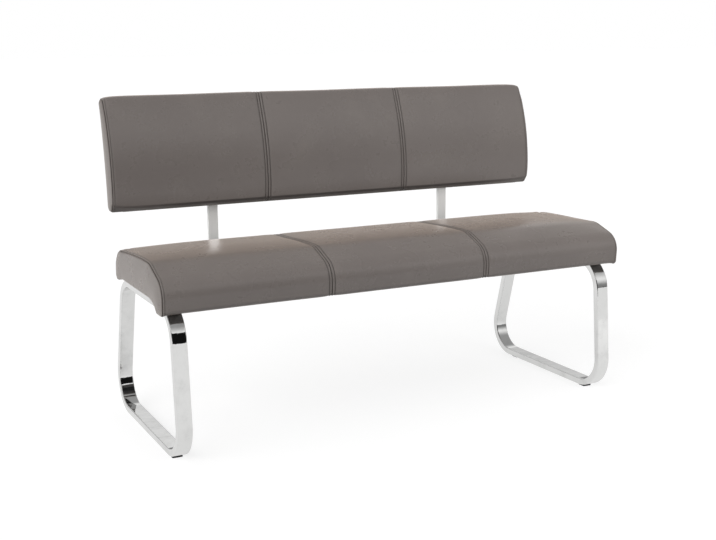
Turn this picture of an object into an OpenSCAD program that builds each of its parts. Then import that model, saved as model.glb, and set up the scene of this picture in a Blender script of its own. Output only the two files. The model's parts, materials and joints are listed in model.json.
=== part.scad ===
// Dining bench: a sewn waterfall seat and a curved back, carried by two closed loops of bent tube.
// X runs along the bench, Y from its front to its back and Z up. The origin is on the floor, under the middle.

/* [Legs] */
// Depth of a leg loop where it is deepest, near the floor
leg_depth = 569; // [520:1:620]
// Height of a leg loop, without its glides
leg_h = 400; // [360:1:440]
// Width of the leg tube, along the bench
tube_w = 40; // [30:1:50]
// Thickness of the leg tube, across the loop
tube_t = 20; // [16:1:25]
// Wall of the leg tube
tube_wall = 2; // [1.2:0.1:3]
// Outer radius of the four bends of a loop
bend_r = 95; // [80:1:110]
// Lean of the front upright, in degrees
front_lean = 4.6; // [0:0.1:8]
// Lean of the rear upright, in degrees
rear_lean = 15.9; // [10:0.1:18]
// Distance from the end of the seat to the outer side of a leg
leg_inset = 25; // [15:1:80]

/* [Glides] */
// Length and width of a glide
glide_size = 28; // [20:1:34]
// Thickness of a glide under the tube
glide_h = 3; // [2:0.5:6]
// Corner radius of a glide
glide_r = 4; // [2:0.5:6]
// Diameter of the peg that holds a glide in the tube
glide_peg_d = 10; // [6:0.5:12]
// Length of that peg above the floor side of the tube
glide_peg_h = 9; // [6:0.5:14]
// Distance of a front glide from the middle of the bottom bend, towards the front
glide_front_out = 8; // [6:1:14]
// Distance of a rear glide from the middle of the bottom bend, towards the front
glide_rear_in = 25; // [20:1:60]

/* [Seat rails] */
// Width of a seat rail
rail_w = 40; // [30:1:50]
// Height of a seat rail
rail_h = 15; // [12:1:20]
// Wall of a seat rail
rail_wall = 1.5; // [1:0.1:2]
// Distance of a rail's middle from the end of the straight stretch of the loop's top
rail_in = 60; // [54:1:70]
// Distance from the outer side of a leg to the end of a rail
rail_end_in = 5; // [3:1:6]
// Thickness of the plate of a rail's end cap
rail_cap_t = 2; // [1:0.5:4]
// Depth of the plug of a rail's end cap
rail_plug = 8; // [4:1:9]

/* [Seat] */
// Length of the seat
seat_len = 1400; // [1200:1:1600]
// Distance of the seat's front behind the front of the legs
seat_setback = 10; // [0:1:30]
// Distance of the seat's rear in front of the rear of the legs
seat_rear_in = 130; // [110:1:150]
// Thickness of the seat from its underside to its crown
seat_t = 84; // [74:1:95]
// Drop of the front lip under the seat's underside
lip_drop = 31; // [28:1:35]
// Radius of the seat's nose
nose_r = 69; // [60:1:75]
// Radius of the slope that leads up from the nose to the crown
brow_r = 327; // [280:1:380]
// Angle that this slope spans
brow_a = 18; // [14:0.5:20]
// Radius of the shallow crown that runs from the slope to the rear
crown_r = 2500; // [2000:10:4000]
// Radius of the seat's upper rear edge
rear_top_r = 60; // [50:1:64]
// Radius of the seat's lower rear edge
rear_low_r = 23; // [18:1:28]
// Radius of the hollow behind the front lip
hollow_r = 95; // [88:1:105]
// Distance from the seat's front to the start of that hollow
hollow_in = 114; // [110:1:122]
// Radius of the lip's lower front edge
lip_front_r = 15; // [12:1:18]
// Radius of the lip's lower rear edge
lip_rear_r = 13; // [12:1:15]
// Distance of the seat's two seams from its middle
seat_seam_x = 238; // [150:1:350]

/* [Seat board] */
// Thickness of the moulded seat board
board_t = 12; // [9:0.5:15]
// Distance from the seat's rear to the board's rear edge
board_rear_in = 30; // [26:1:36]
// Distance from the seat's ends to the board's ends
board_end_in = 24; // [20:1:40]
// Angle by which the board turns down at the front
board_a = 33; // [20:1:34]
// Width of the cover's return under the board
hem_w = 35; // [30:1:45]

/* [Back] */
// Length of the back
back_len = 1384; // [1200:1:1600]
// Height of the back's lower edge over the floor
back_z = 585; // [560:1:620]
// Height of the back
back_h = 315; // [290:1:360]
// Distance from the rear of the seat to the face of the back
back_gap = 25; // [15:1:40]
// Thickness of the back near its lower edge
back_t = 60; // [58:1:68]
// Radius of the curved upper face of the back
back_front_r = 560; // [500:1:700]
// Height over the back's lower edge where this curve starts
back_curve_z = 57; // [40:1:80]
// Radius of the back's rear
back_rear_r = 1425; // [1200:1:2000]
// Lean of the rear at its lower edge, in degrees
back_rear_lean = 2.9; // [2:0.1:3.5]
// Radius of the back's lower edges
back_low_r = 20; // [16:1:22]
// Radius of the back's upper edges
back_top_r = 13; // [12:1:15]
// Distance of the back's two seams from its middle
back_seam_x = 227; // [150:1:350]
// Thickness of the back board
back_board_t = 12; // [9:0.5:14]
// Radius of the back board above its flat foot
back_board_r = 400; // [360:1:520]
// Distance from the back's ends and its upper edge to the board
back_board_in = 20; // [18:1:30]
// Distance from the back's lower edge to the board
back_board_up = 15; // [10:1:20]
// Width of the closing strip in the back's lower edge
strip_w = 14; // [8:1:16]
// Distance from the back's face to the middle of that strip
strip_in = 30; // [28:1:32]

/* [Back brackets] */
// Width of the flat bar of a bracket
bar_w = 30; // [24:1:40]
// Thickness of the flat bar of a bracket
bar_t = 10; // [8:0.5:10]
// Distance of a bracket's middle from the bench's middle
bar_x = 387; // [300:1:500]
// Distance from the back's face to the bar's front side
bar_in = 42; // [38:1:43]
// Length of the bar inside the back
bar_up = 118; // [100:1:130]
// Inner radius of the bend of a bracket
bar_bend_r = 12; // [10:1:20]
// Distance from a foot's front end to its front bolt
foot_end = 22; // [18:1:30]

/* [Upholstery] */
// Thickness of the leatherette covers
cover_t = 1.2; // [0.9:0.1:1.5]
// Room between a cover and its foam
foam_gap = 0.3; // [0.2:0.05:0.5]
// Depth of a seam channel
channel_d = 3; // [1:0.5:4]
// Half width of a seam channel
channel_w = 5; // [4:0.5:8]
// How far an end panel swells out past its seam
end_d = 6; // [4:0.5:8]
// How far an end panel is drawn in at its rim
end_r = 9; // [6:0.5:10]

/* [Fasteners] */
// Diameter of the seat bolts
bolt_d = 8; // [6:1:8]
// Width across the flats of a seat bolt's head
bolt_af = 13; // [11:0.5:13]
// Height of a seat bolt's head
bolt_head = 5.3; // [4:0.1:6]
// Outer diameter of a seat bolt's washer
washer_d = 16; // [14:1:20]
// Thickness of a seat bolt's washer
washer_t = 1.6; // [1:0.1:2]
// Diameter of the bolts in the back
back_bolt_d = 6; // [5:1:6]
// Width across the flats of the head of a bolt in the back
back_bolt_af = 10; // [8:0.5:10]
// Height of the head of a bolt in the back
back_bolt_head = 4; // [3:0.1:4]
// Outer diameter of a washer in the back
back_washer_d = 12; // [12:0.5:14]
// Thickness of a washer in the back
back_washer_t = 1.2; // [0.8:0.1:1.4]
// Diameter of a tee nut's flange
flange_d = 22; // [18:1:24]
// Thickness of a tee nut's flange
flange_t = 1.5; // [1:0.1:2]
// Wall of a tee nut's barrel
barrel_wall = 1; // [0.8:0.1:1.5]
// Room round a bolt in its hole
hole_gap = 0.5; // [0.3:0.1:0.8]
// Room in a fit
fit_gap = 0.2; // [0.1:0.05:0.3]
// Height of the lower bolt in a bracket over the back's lower edge
back_bolt_low = 40; // [32:1:50]
// Distance between the two bolts in a bracket
back_bolt_step = 55; // [45:1:58]

/* [Hidden] */
$fn = 64;

// One overrun serves every cut
over = 0.5;

// Levels of the seat, from the tube's underside up
leg_top = glide_h + leg_h;
seat_z = leg_top + rail_h;
board_z = seat_z + cover_t;
crown_z = seat_z + seat_t;
lip_z = seat_z - lip_drop;

// Places of the seat, from its front to its rear
seat_front = seat_setback - leg_depth / 2;
seat_rear = leg_depth / 2 - seat_rear_in;
nose_y = seat_front + nose_r;
crown_y = nose_y + (brow_r - nose_r) * sin(brow_a);
hollow_y = seat_front + hollow_in;
leg_x = seat_len / 2 - leg_inset - tube_w / 2;

// Bend centres of a leg loop, counted from the rear of its floor side, and the directions between them
top_rise = leg_h - 2 * bend_r;
floor_y = leg_depth / 2 - bend_r;
front_top_y = top_rise * tan(front_lean) - floor_y;
rear_top_y = floor_y - top_rise * tan(rear_lean);
bend_c = [[floor_y, bend_r], [rear_top_y, leg_h - bend_r], [front_top_y, leg_h - bend_r], [-floor_y, bend_r]];
bend_dirs = [-90, rear_lean, 90, 180 - front_lean, 270];
bend_lap = 0.01;

// Rails and bolts
front_rail_y = front_top_y + rail_in;
rear_rail_y = rear_top_y - rail_in;
rail_ys = [front_rail_y, rear_rail_y];
rail_half = leg_x + tube_w / 2 - rail_end_in;
roll_y = rear_rail_y + rail_w / 2 + fit_gap;
barrel_d = bolt_d + 2 * barrel_wall;
back_barrel_d = back_bolt_d + 2 * barrel_wall;

// Places of the back
back_y = seat_rear + back_gap;
back_top = back_z + back_h;
back_curve = [back_y + back_front_r, back_z + back_curve_z];
back_rear_c = [back_y + back_t + back_rear_r * cos(back_rear_lean),
               back_z + back_low_r - back_rear_r * sin(back_rear_lean)];
bar_y = back_y + bar_in;
bar_top = back_z + bar_up;
back_board_y = bar_y - back_board_t;
back_board_turn = bar_top + fit_gap;
strip_y = back_y + strip_in;
back_bolt_zs = [back_z + back_bolt_low, back_z + back_bolt_low + back_bolt_step];

// Points along an arc, and the same without the first, where another stretch ends
function spoke(c, r, a) = c + r * [cos(a), sin(a)];
function arc(c, r, a0, a1, steps) = [for (i = [0 : steps]) spoke(c, r, a0 + (a1 - a0) * i / steps)];
function arc_on(c, r, a0, a1, steps) = [for (i = [1 : steps]) spoke(c, r, a0 + (a1 - a0) * i / steps)];

// Unit normals of an outline's edges that point out of a clockwise outline
function edge_normals(p) =
  [for (i = [0 : len(p) - 1]) let (d = p[(i + 1) % len(p)] - p[i]) [-d[1], d[0]] / norm(d)];

// The outline drawn in at each point by its own amount
function drawn_in(p, amounts) =
  let (n = edge_normals(p), last = len(p) - 1)
  [for (i = [0 : last]) let (a = n[i == 0 ? last : i - 1], b = n[i]) p[i] - amounts[i] * (a + b) / (1 + a * b)];

// Stations of a sewn form along X: place, drawing in of the whole outline, drawing in of its outer side
function end_station(half, side, a) = [side * (half - end_d * (1 - sin(a))), end_r * (1 - cos(a)), 0];
function channel(x, seam) = channel_d / (1 + pow((x - seam) / channel_w, 2));
function inner_places(half, seam) = concat(
  [hem_w - half],
  [for (k = [-2 : 2]) channel_w * k * abs(k) - seam],
  [for (k = [-2 : 2]) channel_w * k * abs(k) + seam],
  [half - hem_w]);
function stations(half, skin, seam) = concat(
  [for (a = [90 : -30 : 0]) end_station(half - skin, -1, a)],
  [for (x = inner_places(half, seam)) [x, 0, channel(x, seam) + channel(x, -seam)]],
  [for (a = [0 : 30 : 90]) end_station(half - skin, 1, a)]);

// A sewn form is a list: its outline in Y and Z, how many of the outline's first points are on the side that
// isn't seen, the half length, the place of its seams, the outline's far tip and the points that its end
// panel's triangles pass before they leave the first point
function form_points(form, skin) =
  [for (s = stations(form[2], skin, form[3]))
    let (amounts = [for (i = [0 : len(form[0]) - 1]) s[1] + skin + (i < form[1] ? 0 : s[2])])
    for (p = drawn_in(form[0], amounts)) [s[0], p[0], p[1]]];

// Triangles between stations, without those of the slot, which is [its place on the outline, first, last station]
function cell(a, b, n, turned) =
  let (c = b + n, d = a + n) turned ? [[a, c, b], [a, d, c]] : [[a, b, c], [a, c, d]];
function skin_faces(m, n, base, turned, slot) =
  [for (i = [0 : m - 2]) for (j = [0 : n - 1]) if (j != slot[0] || i < slot[1] || i >= slot[2])
    for (t = cell(base + i * n + j, base + i * n + (j + 1) % n, n, turned)) t];

// Triangles of an end panel, laid like rungs between the outline's two sides, which meet at its tip
function rung(form, b) =
  let (hold = form[5], steps = len(form[0]) - 1 - form[4]) round(form[4] * max(0, b - hold) / (steps - hold));
function panel_faces(form, base, turned) =
  let (n = len(form[0]), tip = form[4])
  [for (b = [0 : n - 2 - tip])
    let (p = rung(form, b), q = rung(form, b + 1), far = n - 1 - b)
    for (t = concat([[p, far - 1, far]], q > p && q < far - 1 ? [[p, q, far - 1]] : []))
      turned ? [base + t[2], base + t[1], base + t[0]] : [base + t[0], base + t[1], base + t[2]]];
function rim_faces(m, n, slot) =
  let (j = slot[0], q = m * n, low = slot[1] * n + j, high = slot[2] * n + j)
  concat(
    [for (i = [slot[1] : slot[2] - 1]) let (a = i * n + j) [a + n, a, q + a, q + a + n]],
    [for (i = [slot[1] : slot[2] - 1]) let (b = i * n + j + 1) [b, b + n, q + b + n, q + b]],
    [[low, low + 1, q + low + 1, q + low], [high + 1, high, q + high, q + high + 1]]);
function closed_faces(form, m, base, turned, slot) =
  let (n = len(form[0]))
  concat(
    skin_faces(m, n, base, turned, slot),
    panel_faces(form, base, !turned),
    panel_faces(form, base + (m - 1) * n, turned));

// A sewn form as one closed solid, and the same form as a cover that is open along one strip of cells
no_slot = [-1, 0, 0];
module sewn_solid(form, skin) {
  points = form_points(form, skin);
  m = len(points) / len(form[0]);
  polyhedron(points, closed_faces(form, m, 0, false, no_slot));
}
module sewn_cover(form, slot_j) {
  outer = form_points(form, 0);
  inner = form_points(form, cover_t);
  n = len(form[0]);
  m = len(outer) / n;
  hem_i = (m - len(inner_places(form[2], form[3]))) / 2;
  slot = [slot_j, hem_i, m - 1 - hem_i];
  polyhedron(concat(outer, inner), concat(
    closed_faces(form, m, 0, false, slot),
    closed_faces(form, m, m * n, true, slot),
    rim_faces(m, n, slot)));
}

// Outline of the seat in Y and Z, from the rear of its flat underside round the front, top and rear
nose_c = [nose_y, crown_z - brow_r + (brow_r - nose_r) * cos(brow_a)];
hollow_c = [hollow_y, seat_z - hollow_r];
lip_rear_z = lip_z + lip_rear_r;
lip_rear_a = asin((lip_rear_z - hollow_c[1]) / (hollow_r + lip_rear_r));
lip_rear_c = [hollow_y - (hollow_r + lip_rear_r) * cos(lip_rear_a), lip_rear_z];
rear_a = asin((seat_rear - rear_top_r - crown_y) / (crown_r - rear_top_r));
rear_c = [seat_rear - rear_top_r, crown_z - crown_r + (crown_r - rear_top_r) * cos(rear_a)];
rear_low_c = [seat_rear - rear_low_r, rear_c[1]];
brow_c = [crown_y, crown_z - brow_r];
crown_c = [crown_y, crown_z - crown_r];
lip_front_c = [seat_front + lip_front_r, lip_z + lip_front_r];
seat_under = concat(
  [[roll_y, seat_z], [roll_y - hem_w, seat_z], [hollow_y + hem_w - cover_t, seat_z]],
  arc(hollow_c, hollow_r, 90, 180 - lip_rear_a, 4));
seat_lip = arc_on(lip_rear_c, lip_rear_r, -lip_rear_a, -90, 2);
seat_front_top = concat(
  arc(lip_front_c, lip_front_r, 270, 180, 2),
  arc(nose_c, nose_r, 180, 90 + brow_a, 5),
  arc_on(brow_c, brow_r, 90 + brow_a, 90, 2),
  arc_on(crown_c, crown_r, 90, 90 - rear_a, 2));
seat_back_edge = concat(
  arc_on(rear_c, rear_top_r, 90 - rear_a, 0, 4),
  arc_on(rear_low_c, rear_low_r, 0, -90, 3));
seat_form = [concat(seat_under, seat_lip, seat_front_top, seat_back_edge), len(seat_under), seat_len / 2,
             seat_seam_x, len(seat_under) + len(seat_lip), len(seat_back_edge) - 1];
seat_slot = 1;

// Outline of the back in Y and Z, from the rear of its lower edge round the face, top and rear
front_turn = asin((back_h - back_curve_z - back_top_r) / (back_front_r - back_top_r));
back_top_c = [back_curve[0] - (back_front_r - back_top_r) * cos(front_turn), back_top - back_top_r];
rear_top_turn = asin((back_top_c[1] - back_rear_c[1]) / (back_rear_r + back_top_r));
back_rear_top = [back_rear_c[0] - (back_rear_r + back_top_r) * cos(rear_top_turn), back_top_c[1]];
rear_low_turn = asin((back_z + back_low_r - back_rear_c[1]) / (back_rear_r + back_low_r));
back_rear_low = [back_rear_c[0] - (back_rear_r + back_low_r) * cos(rear_low_turn), back_z + back_low_r];
back_low_c = [back_y + back_low_r, back_z + back_low_r];
back_under = [
  [back_rear_low[0], back_z], [strip_y + strip_w / 2, back_z], [strip_y - strip_w / 2, back_z]];
back_face = concat(
  arc(back_low_c, back_low_r, 270, 180, 3),
  arc(back_curve, back_front_r, 180, 180 - front_turn, 6),
  arc_on(back_top_c, back_top_r, 180 - front_turn, 90, 2));
back_rear = concat(
  arc(back_rear_top, back_top_r, 90, -rear_top_turn, 3),
  arc_on(back_rear_c, back_rear_r, 180 - rear_top_turn, 180 - rear_low_turn, 5),
  arc_on(back_rear_low, back_low_r, -rear_low_turn, rear_low_turn - 90, 2));
back_outline = concat(back_under, back_face, back_rear);
back_form = [back_outline, len(back_under), back_len / 2, back_seam_x, floor((len(back_outline) - 1) / 2), 0];
back_slot = 1;

// Turns a flat shape in Y and Z, with its thickness along X, into place
module across() {
  rotate([90, 0, 90]) children();
}

// Closed loop outline with its four bends of radius r round the same centres
// The leaning straights lie a hair inside the bends, so each crosses its arc at one clear point
module loop_outline(r) {
  for (c = bend_c) translate(c) circle(r);
  polygon([for (i = [0 : 3]) for (a = [bend_dirs[i], bend_dirs[i + 1]])
    bend_c[i] + (r - bend_lap * abs(cos(a))) * [cos(a), sin(a)]]);
}
module loop_tube(outer_r, inner_r, w) {
  across() difference() {
    linear_extrude(w, center = true) loop_outline(outer_r);
    linear_extrude(w + 2 * over, center = true) loop_outline(inner_r);
  }
}
module tube_loop() {
  difference() {
    loop_tube(bend_r, bend_r - tube_t, tube_w);
    loop_tube(bend_r - tube_wall, bend_r - tube_t + tube_wall, tube_w - 2 * tube_wall);
  }
}

glide_ys = [-floor_y - glide_front_out, floor_y - glide_rear_in];
module leg(side) {
  color("gainsboro") translate([side * leg_x, 0, 0]) difference() {
    translate([0, 0, glide_h]) tube_loop();
    for (y = rail_ys) translate([0, y, leg_top - tube_t - over])
      cylinder(d = bolt_d + 2 * hole_gap, h = tube_t + 2 * over);
    for (y = glide_ys) translate([0, y, glide_h - over])
      cylinder(d = glide_peg_d + 2 * fit_gap, h = glide_peg_h);
  }
}
module left_leg() { leg(-1); }
module right_leg() { leg(1); }

// A square pad with round corners and a peg, cut to follow the tube above it
module glide(side, y) {
  flat = glide_size - 2 * glide_r;
  color("black") translate([side * leg_x, 0, 0]) {
    difference() {
      translate([0, y, 0]) union() {
        linear_extrude(2 * glide_h) square([glide_size, flat], center = true);
        linear_extrude(2 * glide_h) square([flat, glide_size], center = true);
        for (a = [-1, 1]) for (b = [-1, 1])
          translate([a * flat / 2, b * flat / 2, 0]) cylinder(r = glide_r, h = 2 * glide_h);
      }
      translate([0, 0, glide_h]) across() linear_extrude(tube_w, center = true) loop_outline(bend_r);
    }
    translate([0, y, glide_h - over]) cylinder(d = glide_peg_d, h = glide_peg_h);
  }
}
module front_left_glide() { glide(-1, glide_ys[0]); }
module front_right_glide() { glide(1, glide_ys[0]); }
module rear_left_glide() { glide(-1, glide_ys[1]); }
module rear_right_glide() { glide(1, glide_ys[1]); }

// A box tube along X with holes for the leg bolts and the bracket bolts
module seat_rail(y) {
  color("dimgray") translate([0, y, leg_top]) difference() {
    translate([-rail_half, -rail_w / 2, 0]) cube([2 * rail_half, rail_w, rail_h]);
    translate([-rail_half - over, rail_wall - rail_w / 2, rail_wall])
      cube([2 * (rail_half + over), rail_w - 2 * rail_wall, rail_h - 2 * rail_wall]);
    for (x = [-leg_x, -bar_x, bar_x, leg_x]) translate([x, 0, -over])
      cylinder(d = bolt_d + 2 * hole_gap, h = rail_h + 2 * over);
  }
}
module front_seat_rail() { seat_rail(front_rail_y); }
module rear_seat_rail() { seat_rail(rear_rail_y); }

module rail_end_caps() {
  plug_w = rail_w - 2 * (rail_wall + fit_gap);
  plug_h = rail_h - 2 * (rail_wall + fit_gap);
  color("black") for (side = [-1, 1]) for (y = rail_ys) translate([side * rail_half, y, leg_top + rail_h / 2])
    rotate([0, side * 90, 0]) {
      translate([-rail_h / 2, -rail_w / 2, 0]) cube([rail_h, rail_w, rail_cap_t]);
      translate([-plug_h / 2, -plug_w / 2, -rail_plug]) cube([plug_h, plug_w, rail_plug + rail_cap_t]);
    }
}

// Bolt with a hexagon head under z = 0 and its shank above
module bolt(d, af, head, shank) {
  translate([0, 0, -head]) cylinder(d = af / cos(30), h = head, $fn = 6);
  translate([0, 0, -head]) cylinder(d = d, h = head + shank);
}
module washer(d, hole, t) {
  difference() {
    cylinder(d = d, h = t);
    translate([0, 0, -over]) cylinder(d = hole + 2 * hole_gap, h = t + 2 * over);
  }
}
// Tee nut with its flange above z = 0 and its barrel below
module tee_nut(hole, barrel, depth) {
  difference() {
    union() {
      cylinder(d = flange_d, h = flange_t);
      translate([0, 0, -depth]) cylinder(d = barrel, h = depth + flange_t);
    }
    translate([0, 0, -depth - over]) cylinder(d = hole + fit_gap, h = depth + flange_t + 2 * over);
  }
}

leg_bolt_spots = [for (side = [-1, 1]) for (y = rail_ys) [side * leg_x, y]];
bracket_bolt_spots = [for (side = [-1, 1]) for (y = rail_ys) [side * bar_x, y]];
stack_h = rail_h + cover_t + board_t + flange_t;
module leg_bolts() {
  color("silver") for (p = leg_bolt_spots) translate([p[0], p[1], leg_top - tube_t - washer_t])
    bolt(bolt_d, bolt_af, bolt_head, washer_t + tube_t + stack_h);
}
module leg_washers() {
  color("silver") for (p = leg_bolt_spots) translate([p[0], p[1], leg_top - tube_t - washer_t])
    washer(washer_d, bolt_d, washer_t);
}
module bracket_bolts() {
  color("silver") for (p = bracket_bolt_spots) translate([p[0], p[1], leg_top - bar_t - washer_t])
    bolt(bolt_d, bolt_af, bolt_head, washer_t + bar_t + stack_h);
}
module bracket_washers() {
  color("silver") for (p = bracket_bolt_spots) translate([p[0], p[1], leg_top - bar_t - washer_t])
    washer(washer_d, bolt_d, washer_t);
}
module seat_tee_nuts() {
  color("darkgray") for (p = concat(leg_bolt_spots, bracket_bolt_spots)) translate([p[0], p[1], board_z + board_t])
    tee_nut(bolt_d, barrel_d, board_t - over);
}

// Cross-section of the moulded seat board, thickened below by under to make its pocket in the foam
module board_section(under) {
  turn = hollow_r + cover_t + foam_gap;
  rear = seat_rear - board_rear_in;
  low = board_z - under;
  translate([hollow_y, low]) square([rear - hollow_y, board_t + under]);
  intersection() {
    translate([hollow_y, board_z - turn]) difference() {
      circle(turn + board_t);
      circle(turn - under);
    }
    reach = 2 * (turn + board_t);
    translate([hollow_y, board_z - turn]) polygon([[0, 0], [0, reach], [-reach * sin(board_a), reach * cos(board_a)]]);
  }
}
module board_solid(under) {
  half = seat_len / 2 - board_end_in;
  across() linear_extrude(2 * half, center = true) board_section(under);
}
module seat_board() {
  color("burlywood") difference() {
    board_solid(0);
    for (p = concat(leg_bolt_spots, bracket_bolt_spots)) translate([p[0], p[1], board_z - over])
      cylinder(d = barrel_d + 2 * fit_gap, h = board_t + 2 * over);
  }
}

module seat_foam() {
  color("lightyellow") difference() {
    sewn_solid(seat_form, cover_t + foam_gap);
    board_solid(over);
    for (p = concat(leg_bolt_spots, bracket_bolt_spots)) translate([p[0], p[1], board_z + board_t - over])
      cylinder(d = flange_d + 2 * fit_gap, h = flange_t + foam_gap + over);
  }
}

// Leatherette cover of the seat, with holes for the bolts that pass through its return
module seat_cover() {
  color("dimgray") difference() {
    sewn_cover(seat_form, seat_slot);
    for (p = concat(leg_bolt_spots, bracket_bolt_spots)) translate([p[0], p[1], seat_z - over])
      cylinder(d = bolt_d + 2 * hole_gap, h = cover_t + 2 * over);
  }
}

// Black cloth that fills the opening in the cover's underside
module seat_dust_cover() {
  half = seat_len / 2 - hem_w - foam_gap;
  front = hollow_y + hem_w - cover_t + foam_gap;
  rear = roll_y - hem_w - foam_gap;
  color("black") difference() {
    translate([-half, front, seat_z]) cube([2 * half, rear - front, cover_t]);
    for (p = concat(leg_bolt_spots, bracket_bolt_spots)) translate([p[0], p[1], seat_z - over])
      cylinder(d = bolt_d + 2 * hole_gap, h = cover_t + 2 * over);
  }
}

// A flat bar that runs forward under both rails and turns up behind the seat into the back
foot_y = front_rail_y - foot_end;
module bracket(side) {
  bend = [bar_y - bar_bend_r, leg_top + bar_bend_r];
  outer_r = bar_bend_r + bar_t;
  color("lightgray") translate([side * bar_x, 0, 0]) difference() {
    across() linear_extrude(bar_w, center = true) {
      translate([foot_y, leg_top - bar_t]) square([bend[0] - foot_y, bar_t]);
      translate([bar_y, bend[1]]) square([bar_t, bar_top - bend[1]]);
      translate(bend) intersection() {
        difference() {
          circle(outer_r);
          circle(bar_bend_r);
        }
        translate([0, -outer_r]) square(outer_r);
      }
    }
    for (y = rail_ys) translate([0, y, leg_top - bar_t - over])
      cylinder(d = bolt_d + 2 * hole_gap, h = bar_t + 2 * over);
    for (z = back_bolt_zs) translate([0, bar_y - over, z]) rotate([-90, 0, 0])
      cylinder(d = back_bolt_d + 2 * hole_gap, h = bar_t + 2 * over);
  }
}
module left_back_bracket() { bracket(-1); }
module right_back_bracket() { bracket(1); }

// Cross-section of the back board: a flat foot and a leaning arc above it
module back_board_section() {
  rise = back_top - back_board_in - back_board_turn;
  inner_r = back_board_r - back_board_t;
  foot_z = back_z + back_board_up;
  translate([back_board_y, foot_z]) square([back_board_t, back_board_turn - foot_z]);
  translate([back_board_y + back_board_r, back_board_turn]) intersection() {
    difference() {
      circle(back_board_r, $fn = 128);
      circle(inner_r, $fn = 128);
    }
    translate([-back_board_r - over, 0]) square([back_board_r, rise]);
  }
}
module back_board_solid() {
  half = back_len / 2 - back_board_in;
  across() linear_extrude(2 * half, center = true) back_board_section();
}
back_spots = [for (side = [-1, 1]) for (z = back_bolt_zs) [side * bar_x, z]];
module back_board() {
  color("burlywood") difference() {
    back_board_solid();
    for (p = back_spots) translate([p[0], back_board_y - over, p[1]]) rotate([-90, 0, 0])
      cylinder(d = back_barrel_d + 2 * fit_gap, h = back_board_t + 2 * over);
  }
}

// Room that a bracket takes in the back, with the heads of its bolts
module bar_pocket(side, room) {
  translate([side * bar_x - bar_w / 2 - room, bar_y - room, back_z - over])
    cube([bar_w + 2 * room, bar_t + 2 * room, bar_up + over + room]);
}
module back_foam() {
  head_room = back_bolt_head + back_washer_t + foam_gap;
  color("lightyellow") difference() {
    sewn_solid(back_form, cover_t + foam_gap);
    back_board_solid();
    for (side = [-1, 1]) bar_pocket(side, foam_gap);
    for (p = back_spots) {
      translate([p[0], bar_y + bar_t - over, p[1]]) rotate([-90, 0, 0])
        cylinder(d = back_washer_d + 2 * foam_gap, h = head_room + over);
      translate([p[0], back_board_y - flange_t - foam_gap, p[1]]) rotate([-90, 0, 0])
        cylinder(d = flange_d + 2 * foam_gap, h = flange_t + foam_gap + over);
    }
  }
}
module back_cover() {
  color("dimgray") difference() {
    sewn_cover(back_form, back_slot);
    for (side = [-1, 1]) bar_pocket(side, foam_gap);
  }
}
module back_base_strip() {
  half = back_len / 2 - hem_w - foam_gap;
  w = strip_w - 2 * foam_gap;
  color("black") translate([-half, strip_y - w / 2, back_z]) cube([2 * half, w, cover_t]);
}

module back_bolts() {
  shank = back_washer_t + bar_t + back_board_t + flange_t;
  color("silver") for (p = back_spots) translate([p[0], bar_y + bar_t + back_washer_t, p[1]]) rotate([90, 0, 0])
    bolt(back_bolt_d, back_bolt_af, back_bolt_head, shank);
}
module back_washers() {
  color("silver") for (p = back_spots) translate([p[0], bar_y + bar_t + back_washer_t, p[1]]) rotate([90, 0, 0])
    washer(back_washer_d, back_bolt_d, back_washer_t);
}
module back_tee_nuts() {
  color("darkgray") for (p = back_spots) translate([p[0], back_board_y, p[1]]) rotate([90, 0, 0])
    tee_nut(back_bolt_d, back_barrel_d, back_board_t - over);
}

left_leg();
right_leg();
front_left_glide();
front_right_glide();
rear_left_glide();
rear_right_glide();
front_seat_rail();
rear_seat_rail();
rail_end_caps();
seat_board();
seat_foam();
seat_cover();
seat_dust_cover();
leg_bolts();
leg_washers();
seat_tee_nuts();
left_back_bracket();
right_back_bracket();
bracket_bolts();
bracket_washers();
back_board();
back_foam();
back_cover();
back_base_strip();
back_bolts();
back_washers();
back_tee_nuts();
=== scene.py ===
# %% [markdown]
# # A dining bench with a sewn waterfall seat
#
# Two sewn forms, a seat and a back, stand on two loops of bent chromed tube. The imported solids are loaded
# first, as a fixed frame in metres. They say where everything is, so each piece made here is built
# straight in its place and none has to be fitted by hand.

# %% Load the frame
import json
import math

import bmesh
import bpy
import numpy as np
from mathutils import Matrix, Vector, geometry, noise


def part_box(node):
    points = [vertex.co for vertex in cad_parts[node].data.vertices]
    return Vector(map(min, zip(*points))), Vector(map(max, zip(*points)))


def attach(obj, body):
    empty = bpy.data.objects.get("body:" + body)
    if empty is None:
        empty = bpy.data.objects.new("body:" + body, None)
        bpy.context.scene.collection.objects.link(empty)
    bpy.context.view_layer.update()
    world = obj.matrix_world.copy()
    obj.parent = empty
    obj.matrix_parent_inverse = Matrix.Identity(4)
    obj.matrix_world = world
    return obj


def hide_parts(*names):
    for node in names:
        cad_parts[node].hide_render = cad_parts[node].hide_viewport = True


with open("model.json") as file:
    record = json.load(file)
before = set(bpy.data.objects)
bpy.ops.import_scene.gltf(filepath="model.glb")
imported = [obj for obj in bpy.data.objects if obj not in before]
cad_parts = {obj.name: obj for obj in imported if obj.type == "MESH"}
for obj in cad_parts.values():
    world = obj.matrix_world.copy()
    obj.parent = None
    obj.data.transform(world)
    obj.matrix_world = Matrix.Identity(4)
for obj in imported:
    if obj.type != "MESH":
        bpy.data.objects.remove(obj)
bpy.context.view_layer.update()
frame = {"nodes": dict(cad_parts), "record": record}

nodes = frame["nodes"]
mm = 0.001
print("nodes in the frame:", len(nodes))

# %% [markdown]
# ## The camera
#
# The bench was photographed from its left front, from a little higher than its back. The place and lens
# of that camera were worked out beforehand from edges whose real places are known. A camera looks along
# its own minus Z, so its matrix is written down from three directions: right, up and back.

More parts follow.
